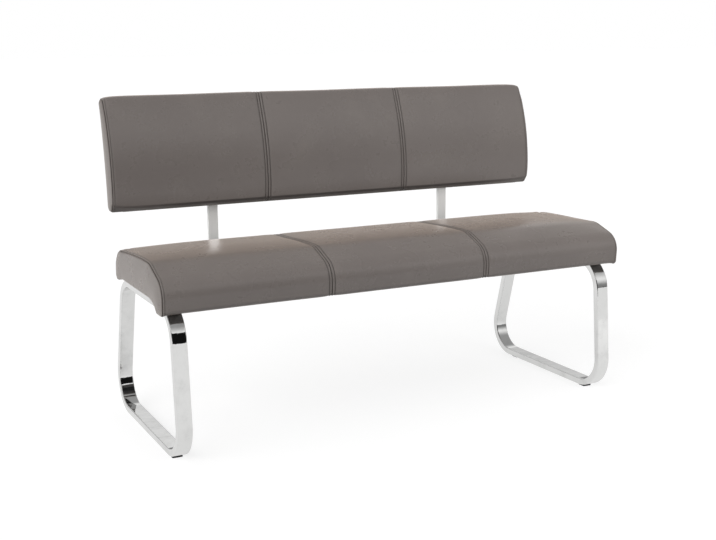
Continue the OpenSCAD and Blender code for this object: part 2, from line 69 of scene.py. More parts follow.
# %% Camera
yaw, pitch, roll = math.radians(26.53), math.radians(11.62), math.radians(-0.44)
ahead = Vector((math.sin(yaw) * math.cos(pitch), math.cos(yaw) * math.cos(pitch), -math.sin(pitch)))
level = Vector((math.cos(yaw), -math.sin(yaw), 0))
over = level.cross(ahead)
right = level * math.cos(roll) + over * math.sin(roll)
up = over * math.cos(roll) - level * math.sin(roll)

camera_place = (-1.477, -2.9055, 1.061)
lens = bpy.data.cameras.new("photo_camera")
lens.sensor_width, lens.lens = 36, 57.22
lens.clip_end = 100
camera = bpy.data.objects.new("photo_camera", lens)
camera.matrix_world = Matrix((right, up, -ahead)).transposed().to_4x4()
camera.location = camera_place
bpy.context.scene.collection.objects.link(camera)
bpy.context.scene.camera = camera
print("camera at", tuple(round(v, 3) for v in camera.location), "lens", lens.lens, "mm")

# %% [markdown]
# ## Small helpers
#
# Nodes can be joined by hand in the editor, but a script stays readable if one function makes a node,
# sets it and joins its inputs. The same function serves shader trees and geometry trees. Colours are
# written as a paint chart gives them, from 0 to 255, and turned into the linear values that the shaders
# want.

# %% Node and mesh helpers
def node(tree, kind, joins=None, **settings):
    made = tree.nodes.new(kind)
    for name, value in settings.items():
        setattr(made, name, value)
    for name, value in (joins or {}).items():
        if isinstance(value, bpy.types.NodeSocket):
            tree.links.new(value, made.inputs[name])
        else:
            made.inputs[name].default_value = value
    return made


def math_node(tree, operation, *values):
    return node(tree, "ShaderNodeMath", dict(enumerate(values)), operation=operation).outputs[0]


def vector_node(tree, operation, joins):
    return node(tree, "ShaderNodeVectorMath", joins, operation=operation).outputs[0]


def linear(value):
    return value / 255 / 12.92 if value <= 10 else ((value / 255 + 0.055) / 1.055) ** 2.4


def colour(red, green, blue):
    return linear(red), linear(green), linear(blue), 1.0


def mix_colour(tree, share, first, second):
    mixed = node(tree, "ShaderNodeMix", {0: share, 6: first, 7: second}, data_type="RGBA")
    return mixed.outputs[2]


def shown(tree, value, low, high):
    """A value from 0 to 1 stretched between low and high."""
    return node(tree, "ShaderNodeMapRange", {"Value": value, "To Min": low, "To Max": high}).outputs[0]


def group(kind, name, inputs, outputs):
    """A node group with its sockets. Returns the tree, its inputs and its outputs."""
    tree = bpy.data.node_groups.new(name, kind)
    for label, sort, value in inputs:
        socket = tree.interface.new_socket(label, in_out="INPUT", socket_type=sort)
        if value is not None:
            socket.default_value = value
    for label, sort in outputs:
        tree.interface.new_socket(label, in_out="OUTPUT", socket_type=sort)
    return tree, tree.nodes.new("NodeGroupInput").outputs, tree.nodes.new("NodeGroupOutput").inputs


def feed(tree, shader, **sockets):
    """Joins a colour, a roughness or the like to the shader's input of that name."""
    for label, value in sockets.items():
        tree.links.new(value, shader.inputs[label.replace("_", " ")])


def mesh_object(name, points, faces=(), edges=()):
    mesh = bpy.data.meshes.new(name)
    mesh.from_pydata([tuple(p) for p in points], list(edges), [list(f) for f in faces])
    mesh.update()
    piece = bpy.data.objects.new(name, mesh)
    bpy.context.scene.collection.objects.link(piece)
    return piece


print("a mid grey as the shaders see it:", tuple(round(v, 3) for v in colour(128, 128, 128)))

# %% [markdown]
# ## Shared effects
#
# Four effects come back in more than one finish, so each is a node group with named inputs: the pebble
# grain of leatherette, the slow cloudy change of tone that every real surface has, the polish that hands
# and legs leave, and the fibres of thread, cloth, wood and brushed metal. A group puts out only values.
# The shader itself stays in the material.

# %% Group: cloudy tone
cloud_tree, given, result = group(
    "ShaderNodeTree", "cloudy_tone",
    [("Vector", "NodeSocketVector", None), ("Size", "NodeSocketFloat", 0.1),
     ("Contrast", "NodeSocketFloat", 1.0)],
    [("Tone", "NodeSocketFloat")])
scale = math_node(cloud_tree, "DIVIDE", 1.0, given["Size"])
clouds = node(
    cloud_tree, "ShaderNodeTexNoise", {"Vector": given["Vector"], "Scale": scale, "Detail": 3.0})
centred = math_node(cloud_tree, "SUBTRACT", clouds.outputs[0], 0.5)
spread = math_node(cloud_tree, "MULTIPLY_ADD", centred, given["Contrast"], 0.5)
cloud_tree.links.new(node(cloud_tree, "ShaderNodeClamp", {"Value": spread}).outputs[0], result["Tone"])
print("group cloudy_tone:", len(cloud_tree.nodes), "nodes")

# %% Group: pebble grain
pebble_tree, given, result = group(
    "ShaderNodeTree", "pebble_grain",
    [("Vector", "NodeSocketVector", None), ("Size", "NodeSocketFloat", 0.001),
     ("Creases", "NodeSocketFloat", 0.5)],
    [("Height", "NodeSocketFloat"), ("Valleys", "NodeSocketFloat")])
scale = math_node(pebble_tree, "DIVIDE", 1.0, given["Size"])
wander = node(
    pebble_tree, "ShaderNodeTexNoise", {"Vector": given["Vector"], "Scale": scale, "Detail": 2.0})
drift = vector_node(pebble_tree, "SUBTRACT", {0: wander.outputs["Color"], 1: (0.5, 0.5, 0.5)})
drift = vector_node(pebble_tree, "SCALE", {0: drift, "Scale": given["Size"]})
place = vector_node(pebble_tree, "ADD", {0: given["Vector"], 1: drift})
pebbles = node(
    pebble_tree, "ShaderNodeTexVoronoi", {"Vector": place, "Scale": scale, "Randomness": 0.9},
    feature="DISTANCE_TO_EDGE")
dome = node(
    pebble_tree, "ShaderNodeMapRange", {"Value": pebbles.outputs["Distance"], "From Max": 0.28},
    interpolation_type="SMOOTHSTEP").outputs[0]
crease_scale = math_node(pebble_tree, "DIVIDE", 0.12, given["Size"])
creases = node(
    pebble_tree, "ShaderNodeTexNoise", {"Vector": given["Vector"], "Scale": crease_scale, "Detail": 4.0})
deep = math_node(pebble_tree, "MULTIPLY", creases.outputs[0], given["Creases"])
pebble_tree.links.new(math_node(pebble_tree, "ADD", dome, deep), result["Height"])
pebble_tree.links.new(math_node(pebble_tree, "SUBTRACT", 1.0, dome), result["Valleys"])
print("group pebble_grain:", len(pebble_tree.nodes), "nodes")

# %% Group: rubbed patches
rub_tree, given, result = group(
    "ShaderNodeTree", "rubbed_patches",
    [("Vector", "NodeSocketVector", None), ("Size", "NodeSocketFloat", 0.05),
     ("Cover", "NodeSocketFloat", 0.4)],
    [("Mask", "NodeSocketFloat")])
scale = math_node(rub_tree, "DIVIDE", 1.0, given["Size"])
patches = node(
    rub_tree, "ShaderNodeTexNoise",
    {"Vector": given["Vector"], "Scale": scale, "Detail": 6.0, "Roughness": 0.65})
lowest = math_node(rub_tree, "SUBTRACT", 0.75, given["Cover"])
highest = math_node(rub_tree, "ADD", lowest, 0.3)
mask = node(
    rub_tree, "ShaderNodeMapRange",
    {"Value": patches.outputs[0], "From Min": lowest, "From Max": highest},
    interpolation_type="SMOOTHSTEP").outputs[0]
rub_tree.links.new(mask, result["Mask"])
print("group rubbed_patches:", len(rub_tree.nodes), "nodes")

# %% Group: fibres
fibre_tree, given, result = group(
    "ShaderNodeTree", "fibres",
    [("Vector", "NodeSocketVector", None), ("Size", "NodeSocketFloat", 0.001),
     ("Stretch", "NodeSocketVector", (1, 1, 8))],
    [("Height", "NodeSocketFloat")])
scale = math_node(fibre_tree, "DIVIDE", 1.0, given["Size"])
drawn = vector_node(fibre_tree, "DIVIDE", {0: given["Vector"], 1: given["Stretch"]})
threads = node(
    fibre_tree, "ShaderNodeTexNoise", {"Vector": drawn, "Scale": scale, "Detail": 4.0, "Distortion": 1.5})
fibre_tree.links.new(threads.outputs[0], result["Height"])
print("group fibres:", len(fibre_tree.nodes), "nodes")

# %% [markdown]
# ## Finishes
#
# Every finish starts from one Principled BSDF. What is the same all over, such as a coat or a sheen, is
# set on the shader itself. What changes over the surface, such as grain, tone and rubbed places, comes
# from the groups above. All patterns read Object coordinates: the finished objects stand at the origin,
# so those are metres on the bench, and the grain keeps its real size on every piece.

# %% Material helpers
def bare_material(name):
    made = bpy.data.materials.new(name)
    made.use_nodes = True
    made.node_tree.nodes.clear()
    return made, made.node_tree


def finish(name, **constants):
    """A material with one Principled BSDF, and with it its tree, its shader and the place on the bench."""
    made, tree = bare_material(name)
    shader = node(tree, "ShaderNodeBsdfPrincipled")
    for label, value in constants.items():
        shader.inputs[label.replace("_", " ")].default_value = value
    node(tree, "ShaderNodeOutputMaterial", {"Surface": shader.outputs[0]})
    place = node(tree, "ShaderNodeTexCoord").outputs["Object"]
    return made, tree, shader, place


def effect(tree, which, **inputs):
    named = {label.replace("_", " "): value for label, value in inputs.items()}
    return node(tree, "ShaderNodeGroup", named, node_tree=which).outputs


def bump(tree, shader, height, depth):
    made = node(tree, "ShaderNodeBump", {"Height": height, "Distance": depth, "Strength": 1.0})
    feed(tree, shader, Normal=made.outputs[0])


print("material helpers ready")

# %% [markdown]
# ### Leatherette
#
# The covers are a brown-grey leatherette with a satin gloss. Its pebbles are about a millimetre wide and
# very shallow. Patches that are often touched are rubbed a trace lighter and smoother. The hollows of the
# seams, the stitch rows and the folded lower edge of the back get painted shade: their colour is darker
# and they are duller. How much is a value that is stored on the mesh when the cover is made.

# %% Leatherette
leatherette, tree, shader, place = finish("leatherette", Sheen_Weight=0.29, Sheen_Roughness=0.35)
shader.inputs["Sheen Tint"].default_value = (1.0, 0.77, 0.61, 1)
tone = effect(tree, cloud_tree, Vector=place, Size=0.35, Contrast=1.6)["Tone"]
small_tone = effect(tree, cloud_tree, Vector=place, Size=0.012, Contrast=1.2)["Tone"]
grain = effect(tree, pebble_tree, Vector=place, Size=0.0011, Creases=0.8)
rubbed = effect(tree, rub_tree, Vector=place, Size=0.09, Cover=0.28)["Mask"]
seam = node(tree, "ShaderNodeAttribute", attribute_name="seam").outputs["Fac"]
skin = mix_colour(tree, tone, colour(117, 110, 107), colour(125, 118, 114))
# The last change paints shade into the colour of the seams' grooves, the stitch rows and the back's folded
# edge.
changes = [
    (small_tone, 0.25, colour(108, 102, 98)), (rubbed, 0.25, colour(134, 127, 122)),
    (grain["Valleys"], 0.30, colour(84, 78, 75)), (seam, 0.94, colour(38, 34, 32))]
for mask, most, tint in changes:
    skin = mix_colour(tree, math_node(tree, "MULTIPLY", mask, most), skin, tint)
rough = shown(tree, tone, 0.26, 0.31)
rough = math_node(tree, "SUBTRACT", rough, math_node(tree, "MULTIPLY", rubbed, 0.05))
rough = math_node(tree, "MULTIPLY_ADD", seam, 0.45, rough)
feed(tree, shader, Base_Color=skin, Roughness=rough)
bump(tree, shader, grain["Height"], 0.00003)
print("finish leatherette:", len(tree.nodes), "nodes")

# %% [markdown]
# ### Thread, lining and wood
#
# The thread has the colour of the leatherette, in fine lighter and darker streaks. The lining is a
# non-woven cloth of pressed fibres. The boards inside are plywood: their edges show thin layers one above
# the other, which a wave along the height gives.

# %% Thread
thread, tree, shader, place = finish("thread", Roughness=0.62, Sheen_Weight=0.3)
twist = effect(tree, fibre_tree, Vector=place, Size=0.0003, Stretch=(1.0, 1.0, 3.0))["Height"]
feed(tree, shader, Base_Color=mix_colour(tree, twist, colour(72, 67, 64), colour(112, 105, 101)))
bump(tree, shader, twist, 0.0001)
print("finish thread:", len(tree.nodes), "nodes")

# %% Lining
lining, tree, shader, place = finish("lining", Roughness=0.9, Sheen_Weight=0.25, Sheen_Roughness=0.5)
felt = effect(tree, fibre_tree, Vector=place, Size=0.0012, Stretch=(6.0, 1.0, 1.0))["Height"]
dimples = node(
    tree, "ShaderNodeTexVoronoi", {"Vector": place, "Scale": 700.0}, feature="F1").outputs["Distance"]
feed(tree, shader, Base_Color=mix_colour(tree, felt, colour(22, 22, 23), colour(52, 52, 54)))
bump(tree, shader, math_node(tree, "ADD", felt, dimples), 0.0002)
print("finish lining:", len(tree.nodes), "nodes")

# %% Plywood
plywood, tree, shader, place = finish("plywood", Roughness=0.6)
layers = node(
    tree, "ShaderNodeTexWave", {"Vector": place, "Scale": 105.0, "Distortion": 0.6, "Detail": 2.0},
    wave_type="BANDS", bands_direction="Z").outputs[0]
figure = effect(tree, fibre_tree, Vector=place, Size=0.006, Stretch=(30.0, 1.0, 1.0))["Height"]
wood = mix_colour(tree, layers, colour(196, 158, 112), colour(222, 190, 146))
wood = mix_colour(tree, math_node(tree, "MULTIPLY", figure, 0.5), wood, colour(168, 126, 82))
feed(tree, shader, Base_Color=wood)
bump(tree, shader, figure, 0.0003)
print("finish plywood:", len(tree.nodes), "nodes")

# %% [markdown]
# ### Chrome, zinc, paint and plastic
#
# Chrome is nearly a mirror. What makes it believable is what it reflects, and two small faults: a film of
# smudges that changes its roughness, and the faint waves that polishing leaves in a tube. The two bars of
# the back have a brushed satin chrome. Zinc is duller and speckled. The rails have black powder paint
# with its fine orange peel, and the glides are moulded plastic.

# %% Chrome
chrome, tree, shader, place = finish("chrome", Metallic=1.0)
film = effect(tree, rub_tree, Vector=place, Size=0.07, Cover=0.30)["Mask"]
waves = effect(tree, cloud_tree, Vector=place, Size=0.03, Contrast=1.0)["Tone"]
metal = mix_colour(tree, film, colour(230, 230, 229), colour(219, 219, 218))
feed(tree, shader, Base_Color=metal, Roughness=shown(tree, film, 0.03, 0.12))
bump(tree, shader, waves, 0.0004)
print("finish chrome:", len(tree.nodes), "nodes")

# %% Satin chrome
satin, tree, shader, place = finish("satin_chrome", Metallic=0.3)
brushed = effect(tree, fibre_tree, Vector=place, Size=0.0009, Stretch=(1.0, 1.0, 60.0))["Height"]
film = effect(tree, rub_tree, Vector=place, Size=0.05, Cover=0.30)["Mask"]
metal = mix_colour(tree, film, colour(250, 250, 248), colour(243, 243, 241))
feed(tree, shader, Base_Color=metal, Roughness=shown(tree, brushed, 0.26, 0.36))
bump(tree, shader, brushed, 0.00003)
print("finish satin_chrome:", len(tree.nodes), "nodes")

# %% Zinc
zinc, tree, shader, place = finish("zinc", Metallic=1.0)
speckle = effect(tree, cloud_tree, Vector=place, Size=0.0015, Contrast=2.0)["Tone"]
worn = effect(tree, rub_tree, Vector=place, Size=0.008, Cover=0.4)["Mask"]
metal = mix_colour(tree, speckle, colour(176, 178, 182), colour(208, 210, 212))
feed(tree, shader, Base_Color=metal, Roughness=shown(tree, worn, 0.28, 0.45))
bump(tree, shader, speckle, 0.00005)
print("finish zinc:", len(tree.nodes), "nodes")

# %% Powder paint
paint, tree, shader, place = finish("black_paint", Coat_Weight=0.2, Coat_Roughness=0.3)
peel = effect(tree, cloud_tree, Vector=place, Size=0.0018, Contrast=1.0)["Tone"]
worn = effect(tree, rub_tree, Vector=place, Size=0.03, Cover=0.2)["Mask"]
black = mix_colour(tree, worn, colour(24, 24, 26), colour(44, 44, 46))
feed(tree, shader, Base_Color=black, Roughness=shown(tree, peel, 0.42, 0.58))
bump(tree, shader, peel, 0.0001)
print("finish black_paint:", len(tree.nodes), "nodes")

# %% Moulded plastic
plastic, tree, shader, place = finish("black_plastic", Specular_IOR_Level=0.45)
spark = effect(tree, pebble_tree, Vector=place, Size=0.0006, Creases=0.2)
scuffed = effect(tree, rub_tree, Vector=place, Size=0.01, Cover=0.3)["Mask"]
black = mix_colour(tree, scuffed, colour(20, 20, 21), colour(50, 49, 48))
feed(tree, shader, Base_Color=black, Roughness=shown(tree, scuffed, 0.5, 0.68))
bump(tree, shader, spark["Height"], 0.00006)
print("finish black_plastic:", len(tree.nodes), "nodes")

# %% [markdown]
# ## Swept metal
#
# The legs are closed loops of 40 by 20 mm tube, bent four times, and the brackets are flat bars bent
# once. Both are one section carried along one line, which is what Geometry Nodes does best: a rectangle
# with filleted corners runs along a path. The small fillets matter more than their size, because in
# chrome every edge shows as a bright or dark line. The solids in the frame have the same sizes with sharp
# edges.

# %% Geometry tree: section along a path
sweep_tree, given, result = group(
    "GeometryNodeTree", "section_along_path",
    [("Geometry", "NodeSocketGeometry", None), ("Across", "NodeSocketFloat", 0.04),
     ("Through", "NodeSocketFloat", 0.02), ("Edge radius", "NodeSocketFloat", 0.003),
     ("Edge steps", "NodeSocketInt", 4), ("Material", "NodeSocketMaterial", None)],
    [("Geometry", "NodeSocketGeometry")])
sweep_tree.is_modifier = True
line = node(sweep_tree, "GeometryNodeMeshToCurve", {"Mesh": given["Geometry"]})
section = node(
    sweep_tree, "GeometryNodeCurvePrimitiveQuadrilateral",
    {"Width": given["Across"], "Height": given["Through"]})
section = node(
    sweep_tree, "GeometryNodeFilletCurve",
    {"Curve": section.outputs[0], "Radius": given["Edge radius"], "Count": given["Edge steps"]},
    mode="POLY")
swept = node(
    sweep_tree, "GeometryNodeCurveToMesh",
    {"Curve": line.outputs[0], "Profile Curve": section.outputs[0], "Fill Caps": True})
smooth = node(sweep_tree, "GeometryNodeSetShadeSmooth", {"Geometry": swept.outputs[0]})
real = node(sweep_tree, "GeometryNodeRealizeInstances", {"Geometry": smooth.outputs[0]})
dressed = node(
    sweep_tree, "GeometryNodeSetMaterial", {"Geometry": real.outputs[0], "Material": given["Material"]})
sweep_tree.links.new(dressed.outputs[0], result["Geometry"])
print("tree section_along_path:", len(sweep_tree.nodes), "nodes")


# %% Turn a geometry tree into a plain mesh
def grown(name, carrier, tree, more=(), **inputs):
    """Runs a geometry tree on carrier, and returns its result as a plain mesh object."""
    modifier = carrier.modifiers.new("tree", "NODES")
    modifier.node_group = tree
    keys = {item.name: item.identifier for item in tree.interface.items_tree if item.in_out == "INPUT"}
    for label, value in inputs.items():
        modifier[keys[label.replace("_", " ")]] = value
    for kind, settings in more:
        extra = carrier.modifiers.new(kind.lower(), kind)
        for label, value in settings.items():
            setattr(extra, label, value)
    bpy.context.view_layer.update()
    graph = bpy.context.evaluated_depsgraph_get()
    mesh = bpy.data.meshes.new_from_object(carrier.evaluated_get(graph), depsgraph=graph)
    piece = bpy.data.objects.new(name, mesh)
    mesh.name = name
    bpy.context.scene.collection.objects.link(piece)
    bpy.data.objects.remove(carrier)
    return piece


def triangles(piece):
    return sum(len(p.vertices) - 2 for p in piece.data.polygons)


def size_of(piece):
    places = np.array([v.co for v in piece.data.vertices])
    return [round(float(v), 4) for v in places.max(axis=0) - places.min(axis=0)]


# %% Legs: the line of a loop
tube_w, tube_t, tube_edge_r, bend_r = 40 * mm, 20 * mm, 3 * mm, 95 * mm
front_lean, rear_lean, bend_step = 4.6, 15.9, 4 * mm
leg_low, leg_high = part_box("left_leg")
loop_depth = 569 * mm
leg_rise = leg_high.z - leg_low.z - 2 * bend_r
floor_y = loop_depth / 2 - bend_r
front_top = leg_rise * math.tan(math.radians(front_lean)) - floor_y
rear_top = floor_y - leg_rise * math.tan(math.radians(rear_lean))
low_z, high_z = leg_low.z + bend_r, leg_high.z - bend_r
bends = [(floor_y, low_z), (rear_top, high_z), (front_top, high_z), (-floor_y, low_z)]
turns = [-90, rear_lean, 90, 180 - front_lean, 270]


def arc(centre, radius, start, end, step):
    """Points round a centre from one angle to another, about a step apart."""
    count = max(2, round(abs(math.radians(end - start)) * radius / step))
    angles = [math.radians(start + (end - start) * k / count) for k in range(count + 1)]
    return [(centre[0] + radius * math.cos(a), centre[1] + radius * math.sin(a)) for a in angles]


loop_line = []
for corner, centre in enumerate(bends):
    loop_line += arc(centre, bend_r - tube_t / 2, turns[corner], turns[corner + 1], bend_step)
print("points on a leg's line:", len(loop_line))

# %% Legs: sweep both loops
even_shading = [("WEIGHTED_NORMAL", {"weight": 100, "keep_sharp": True})]
count = len(loop_line)
closed = [(k, (k + 1) % count) for k in range(count)]
for side, name in ((-1, "left_leg"), (1, "right_leg")):
    leg_x = side * (abs(leg_low.x) - tube_w / 2)
    path = mesh_object("path", [(leg_x, y, z) for y, z in loop_line], edges=closed)
    leg = grown(
        name + "_tube", path, sweep_tree, even_shading,
        Across=tube_w, Through=tube_t, Edge_radius=tube_edge_r, Edge_steps=5, Material=chrome)
    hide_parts(name)
    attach(leg, "root")
    print(leg.name, "size", size_of(leg), "triangles", triangles(leg))

# %% Brackets: sweep both bars
bar_t, bar_inner, bar_edge_r, bar_step = 10 * mm, 12 * mm, 1.3 * mm, 1.5 * mm
for side, name in ((-1, "left_back_bracket"), (1, "right_back_bracket")):
    low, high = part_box(name)
    bend = (high.y - bar_t - bar_inner, low.z + bar_t + bar_inner)
    bar_line = [(low.y, low.z + bar_t / 2)]
    bar_line += arc(bend, bar_inner + bar_t / 2, -90, 0, bar_step)
    bar_line += [(high.y - bar_t / 2, high.z)]
    path = mesh_object(
        "path", [((low.x + high.x) / 2, y, z) for y, z in bar_line],
        edges=[(k, k + 1) for k in range(len(bar_line) - 1)])
    bar = grown(
        name + "_bar", path, sweep_tree, even_shading,
        Across=high.x - low.x, Through=bar_t, Edge_radius=bar_edge_r, Edge_steps=4, Material=satin)
    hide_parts(name)
    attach(bar, "root")
    print(bar.name, "triangles", triangles(bar))

# %% [markdown]
# ## The two sewn forms
#
# A cover is one closed skin: a section in Y and Z, carried along the bench through many stations. The
# stations lie close together where something happens, at the seams and at the ends, and far apart
# elsewhere, so a seam can be a real groove a millimetre wide without millions of faces. The section is
# built from the arcs that make the shape: on the seat a flat underside, the hollow behind the lip, the
# lip, the nose, a straight slope, the brow where the slope turns into the sitting surface, the long flat
# crown, and the round rear.

# %% Lines of a section
nearest = 0.2 * mm


def straight(start, end, step):
    """Points from start to end, about a step apart."""
    count = max(1, round(math.dist(start, end) / step))
    return [tuple(start[k] + (end[k] - start[k]) * i / count for k in range(2)) for i in range(count + 1)]


def angle_of(sine):
    return math.degrees(math.asin(sine))


def joined(stretches):
    """One closed line from stretches of (points, whether they show, painted shade of their fold)."""
    line = []
    for points, seen, *dark in stretches:
        for y, z in points:
            if not line or math.dist((y, z), line[-1][:2]) > nearest:
                line.append((y, z, seen, *(dark or [0.0])))
    if math.dist(line[0][:2], line[-1][:2]) < nearest:
        line.pop()
    return np.array(line)


print("a sine of one half is", round(angle_of(0.5), 1), "degrees")

# %% Section of the seat
seat_low, seat_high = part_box("seat_cover")
seat_half = seat_high.x
seat_front, seat_rear = seat_low.y, seat_high.y
crown_rise, lip_rise, underside_rise = 7 * mm, 4.5 * mm, 31 * mm
crown_z, lip_z, seat_z = seat_high.z + crown_rise, seat_low.z + lip_rise, seat_low.z + underside_rise
nose_r, nose_out, slope_length = 55 * mm, 2 * mm, 55 * mm
brow_r, brow_a, crown_r = 90 * mm, 21.5, 2400 * mm
rear_top_r, rear_low_r, rear_drop = 60 * mm, 17 * mm, 11 * mm
hollow_r, hollow_off = 95 * mm, 114 * mm
lip_front_r, lip_rear_r = 15 * mm, 13 * mm
rail_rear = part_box("rear_seat_rail")[1].y
seat_steps = 2.3, 4.6, 7, 9


def seat_section(coarse):
    """The seat's section from the rear of its flat underside, round the front, the top and the rear."""
    hollow = (seat_front + hollow_off, seat_z - hollow_r)
    lip_a = angle_of((lip_z + lip_rear_r - hollow[1]) / (hollow_r + lip_rear_r))
    lip_rear = (hollow[0] - (hollow_r + lip_rear_r) * math.cos(math.radians(lip_a)), lip_z + lip_rear_r)
    lip_front = (seat_front + lip_front_r, lip_z + lip_front_r)
    sine, cosine = math.sin(math.radians(brow_a)), math.cos(math.radians(brow_a))
    nose = (
        seat_front - nose_out + nose_r,
        crown_z - brow_r + (brow_r - nose_r) * cosine - slope_length * sine)
    slope_low = (nose[0] - nose_r * sine, nose[1] + nose_r * cosine)
    slope_top = (slope_low[0] + slope_length * cosine, slope_low[1] + slope_length * sine)
    crown_y = slope_top[0] + brow_r * sine
    rear_a = angle_of((seat_rear - rear_top_r - crown_y) / (crown_r - rear_top_r))
    rear_z = crown_z - crown_r + (crown_r - rear_top_r) * math.cos(math.radians(rear_a))
    rear_low = (seat_rear - rear_low_r, seat_z - rear_drop + rear_low_r)
    flat_end = (rail_rear + nearest, seat_z)
    small, middle, large, flat = (step * mm * coarse for step in seat_steps)
    return joined([
        (straight(flat_end, (hollow[0], seat_z), flat), 0),
        (arc(hollow, hollow_r, 90, 180 - lip_a, middle), 0),
        (arc(lip_rear, lip_rear_r, -lip_a, -90, small), 1),
        (straight((lip_rear[0], lip_z), (lip_front[0], lip_z), middle), 1),
        (arc(lip_front, lip_front_r, 270, 180, small), 1),
        (straight((seat_front, lip_front[1]), (nose[0] - nose_r, nose[1]), middle), 1),
        (arc(nose, nose_r, 180, 90 + brow_a, middle), 1),
        (straight(slope_low, slope_top, middle), 1),
        (arc((crown_y, crown_z - brow_r), brow_r, 90 + brow_a, 90, small), 1),
        (arc((crown_y, crown_z - crown_r), crown_r, 90, 90 - rear_a, large), 1),
        (arc((seat_rear - rear_top_r, rear_z), rear_top_r, 90 - rear_a, 0, middle), 1),
        (straight((seat_rear, rear_z), (seat_rear, rear_low[1]), middle), 1),
        (arc(rear_low, rear_low_r, 0, -90, small), 1),
        (straight((rear_low[0], rear_low[1] - rear_low_r), flat_end, large), 0)])


print("points on the seat's section:", len(seat_section(1)))

# %% [markdown]
# The back's face is one shallow arc above and a tighter one below. Its lower edge is folded under: a
# small arc, a short slant and another small arc, which get painted shade in their colour. Its rear is
# an almost straight arc that leans.

# %% Section of the back
back_low, back_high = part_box("back_cover")
back_half = back_high.x
back_z, back_top = back_low.z, back_high.z
strip_low, strip_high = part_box("back_base_strip")
strip_to_face, back_t = 30 * mm, 60 * mm
face_r, curve_rise, under_r = 560 * mm, 57 * mm, 260 * mm
rear_r, rear_lean_a = 1425 * mm, 2.9
low_r, top_r = 20 * mm, 13 * mm
# fold_dark is the painted shade in the colour of the back's folded lower edge.
fold_r, fold_a, fold_length, fold_dark = 10 * mm, 56, 11 * mm, 0.75
back_y = (strip_low.y + strip_high.y) / 2 - strip_to_face
back_steps, fold_finer, under_coarser = (2.3, 4.6, 6.5), 0.7, 1.4


def round_below(rear, radius, z):
    """Where an arc of a radius meets the back's rear arc from inside, and at what angle."""
    slant = angle_of((z - rear[1]) / (rear_r + radius))
    return (rear[0] - (rear_r + radius) * math.cos(math.radians(slant)), z), slant


def back_section(coarse):
    """The back's section from the rear of its lower edge, round the face, the top and the rear."""
    lean, fall = math.radians(rear_lean_a), math.radians(fold_a)
    face = (back_y + face_r, back_z + curve_rise)
    rear = (back_y + back_t + rear_r * math.cos(lean), back_z + low_r - rear_r * math.sin(lean))
    face_a = angle_of((back_top - top_r - face[1]) / (face_r - top_r))
    top_c = (face[0] - (face_r - top_r) * math.cos(math.radians(face_a)), back_top - top_r)
    rear_top_c, rear_top_a = round_below(rear, top_r, top_c[1])
    rear_low_c, rear_low_a = round_below(rear, low_r, back_z + low_r)
    fold_top_z = back_z + fold_r + fold_length * math.cos(fall)
    under_a = angle_of((face[1] - fold_top_z) / (under_r - fold_r))
    fold_top = (back_y + under_r - (under_r - fold_r) * math.cos(math.radians(under_a)), fold_top_z)
    fold_low = (fold_top[0] + fold_length * math.sin(fall), back_z + fold_r)
    slant = [
        (y - fold_r * math.cos(fall), z - fold_r * math.sin(fall)) for y, z in (fold_low, fold_top)]
    small, middle, large = (step * mm * coarse for step in back_steps)
    return joined([
        (straight((rear_low_c[0], back_z), (fold_low[0], back_z), middle), 0),
        (arc(fold_low, fold_r, 270, 180 + fold_a, small), 1, fold_dark),
        (straight(*slant, middle), 1, fold_dark),
        (arc(fold_top, fold_r, 180 + fold_a, 180 + under_a, small * fold_finer), 1, fold_dark),
        (arc((back_y + under_r, face[1]), under_r, 180 + under_a, 180, small * under_coarser), 1),
        (arc(face, face_r, 180, 180 - face_a, large), 1),
        (arc(top_c, top_r, 180 - face_a, 90, small), 1),
        (straight((top_c[0], back_top), (rear_top_c[0], back_top), middle), 1),
        (arc(rear_top_c, top_r, 90, -rear_top_a, small), 1),
        (arc(rear, rear_r, 180 - rear_top_a, 180 - rear_low_a, large), 1),
        (arc(rear_low_c, low_r, -rear_low_a, -90, small), 1)])


print("points on the back's section:", len(back_section(1)))

# %% Directions and lengths along a section
def outward(section):
    """The direction that points out of the skin at each point of a section."""
    ahead_of, behind = np.roll(section[:, :2], -1, axis=0), np.roll(section[:, :2], 1, axis=0)
    along = ahead_of - behind
    away = np.stack([-along[:, 1], along[:, 0]], axis=1)
    return away / np.linalg.norm(away, axis=1, keepdims=True)


def shares_round(section):
    """How far round the section each point is, from 0 to 1, and how long the section is."""
    steps = np.linalg.norm(np.roll(section[:, :2], -1, axis=0) - section[:, :2], axis=1)
    return np.concatenate([[0], np.cumsum(steps)[:-1]]) / steps.sum(), steps.sum()


print("the seat is", round(shares_round(seat_section(1))[1], 3), "m round")

# %% Skins from rings of points
def faces_between(rings, count):
    """Faces between closed rings of count points each."""
    return [
        (here + j, here + (j + 1) % count, here + count + (j + 1) % count, here + count + j)
        for here in range(0, (rings - 1) * count, count) for j in range(count)]


def turned_outwards(piece, merge=0.0):
    """Merges points nearer than merge, turns the faces outwards and returns the edges that lie open."""
    shell = bmesh.new()
    shell.from_mesh(piece.data)
    if merge:
        bmesh.ops.remove_doubles(shell, verts=shell.verts, dist=merge)
    bmesh.ops.recalc_face_normals(shell, faces=shell.faces)
    open_edges = sum(1 for edge in shell.edges if len(edge.link_faces) != 2)
    shell.to_mesh(piece.data)
    shell.free()
    return open_edges


print("faces between two rings of four points:", faces_between(2, 4))

# %% [markdown]
# ### What the foam does: a cloth simulation
#
# Under the leatherette lies foam that is a little too big for it. So each section stands proud of its
# seams and is drawn flat beside them. That is simulated: a coarser copy of the skin, pinned along the
# seams, the ends and the side that is pulled over the board, is blown up by a light pressure for 20
# frames without gravity. Its movement is capped and then carried over to the fine skin, which keeps the
# stations that the seams need.

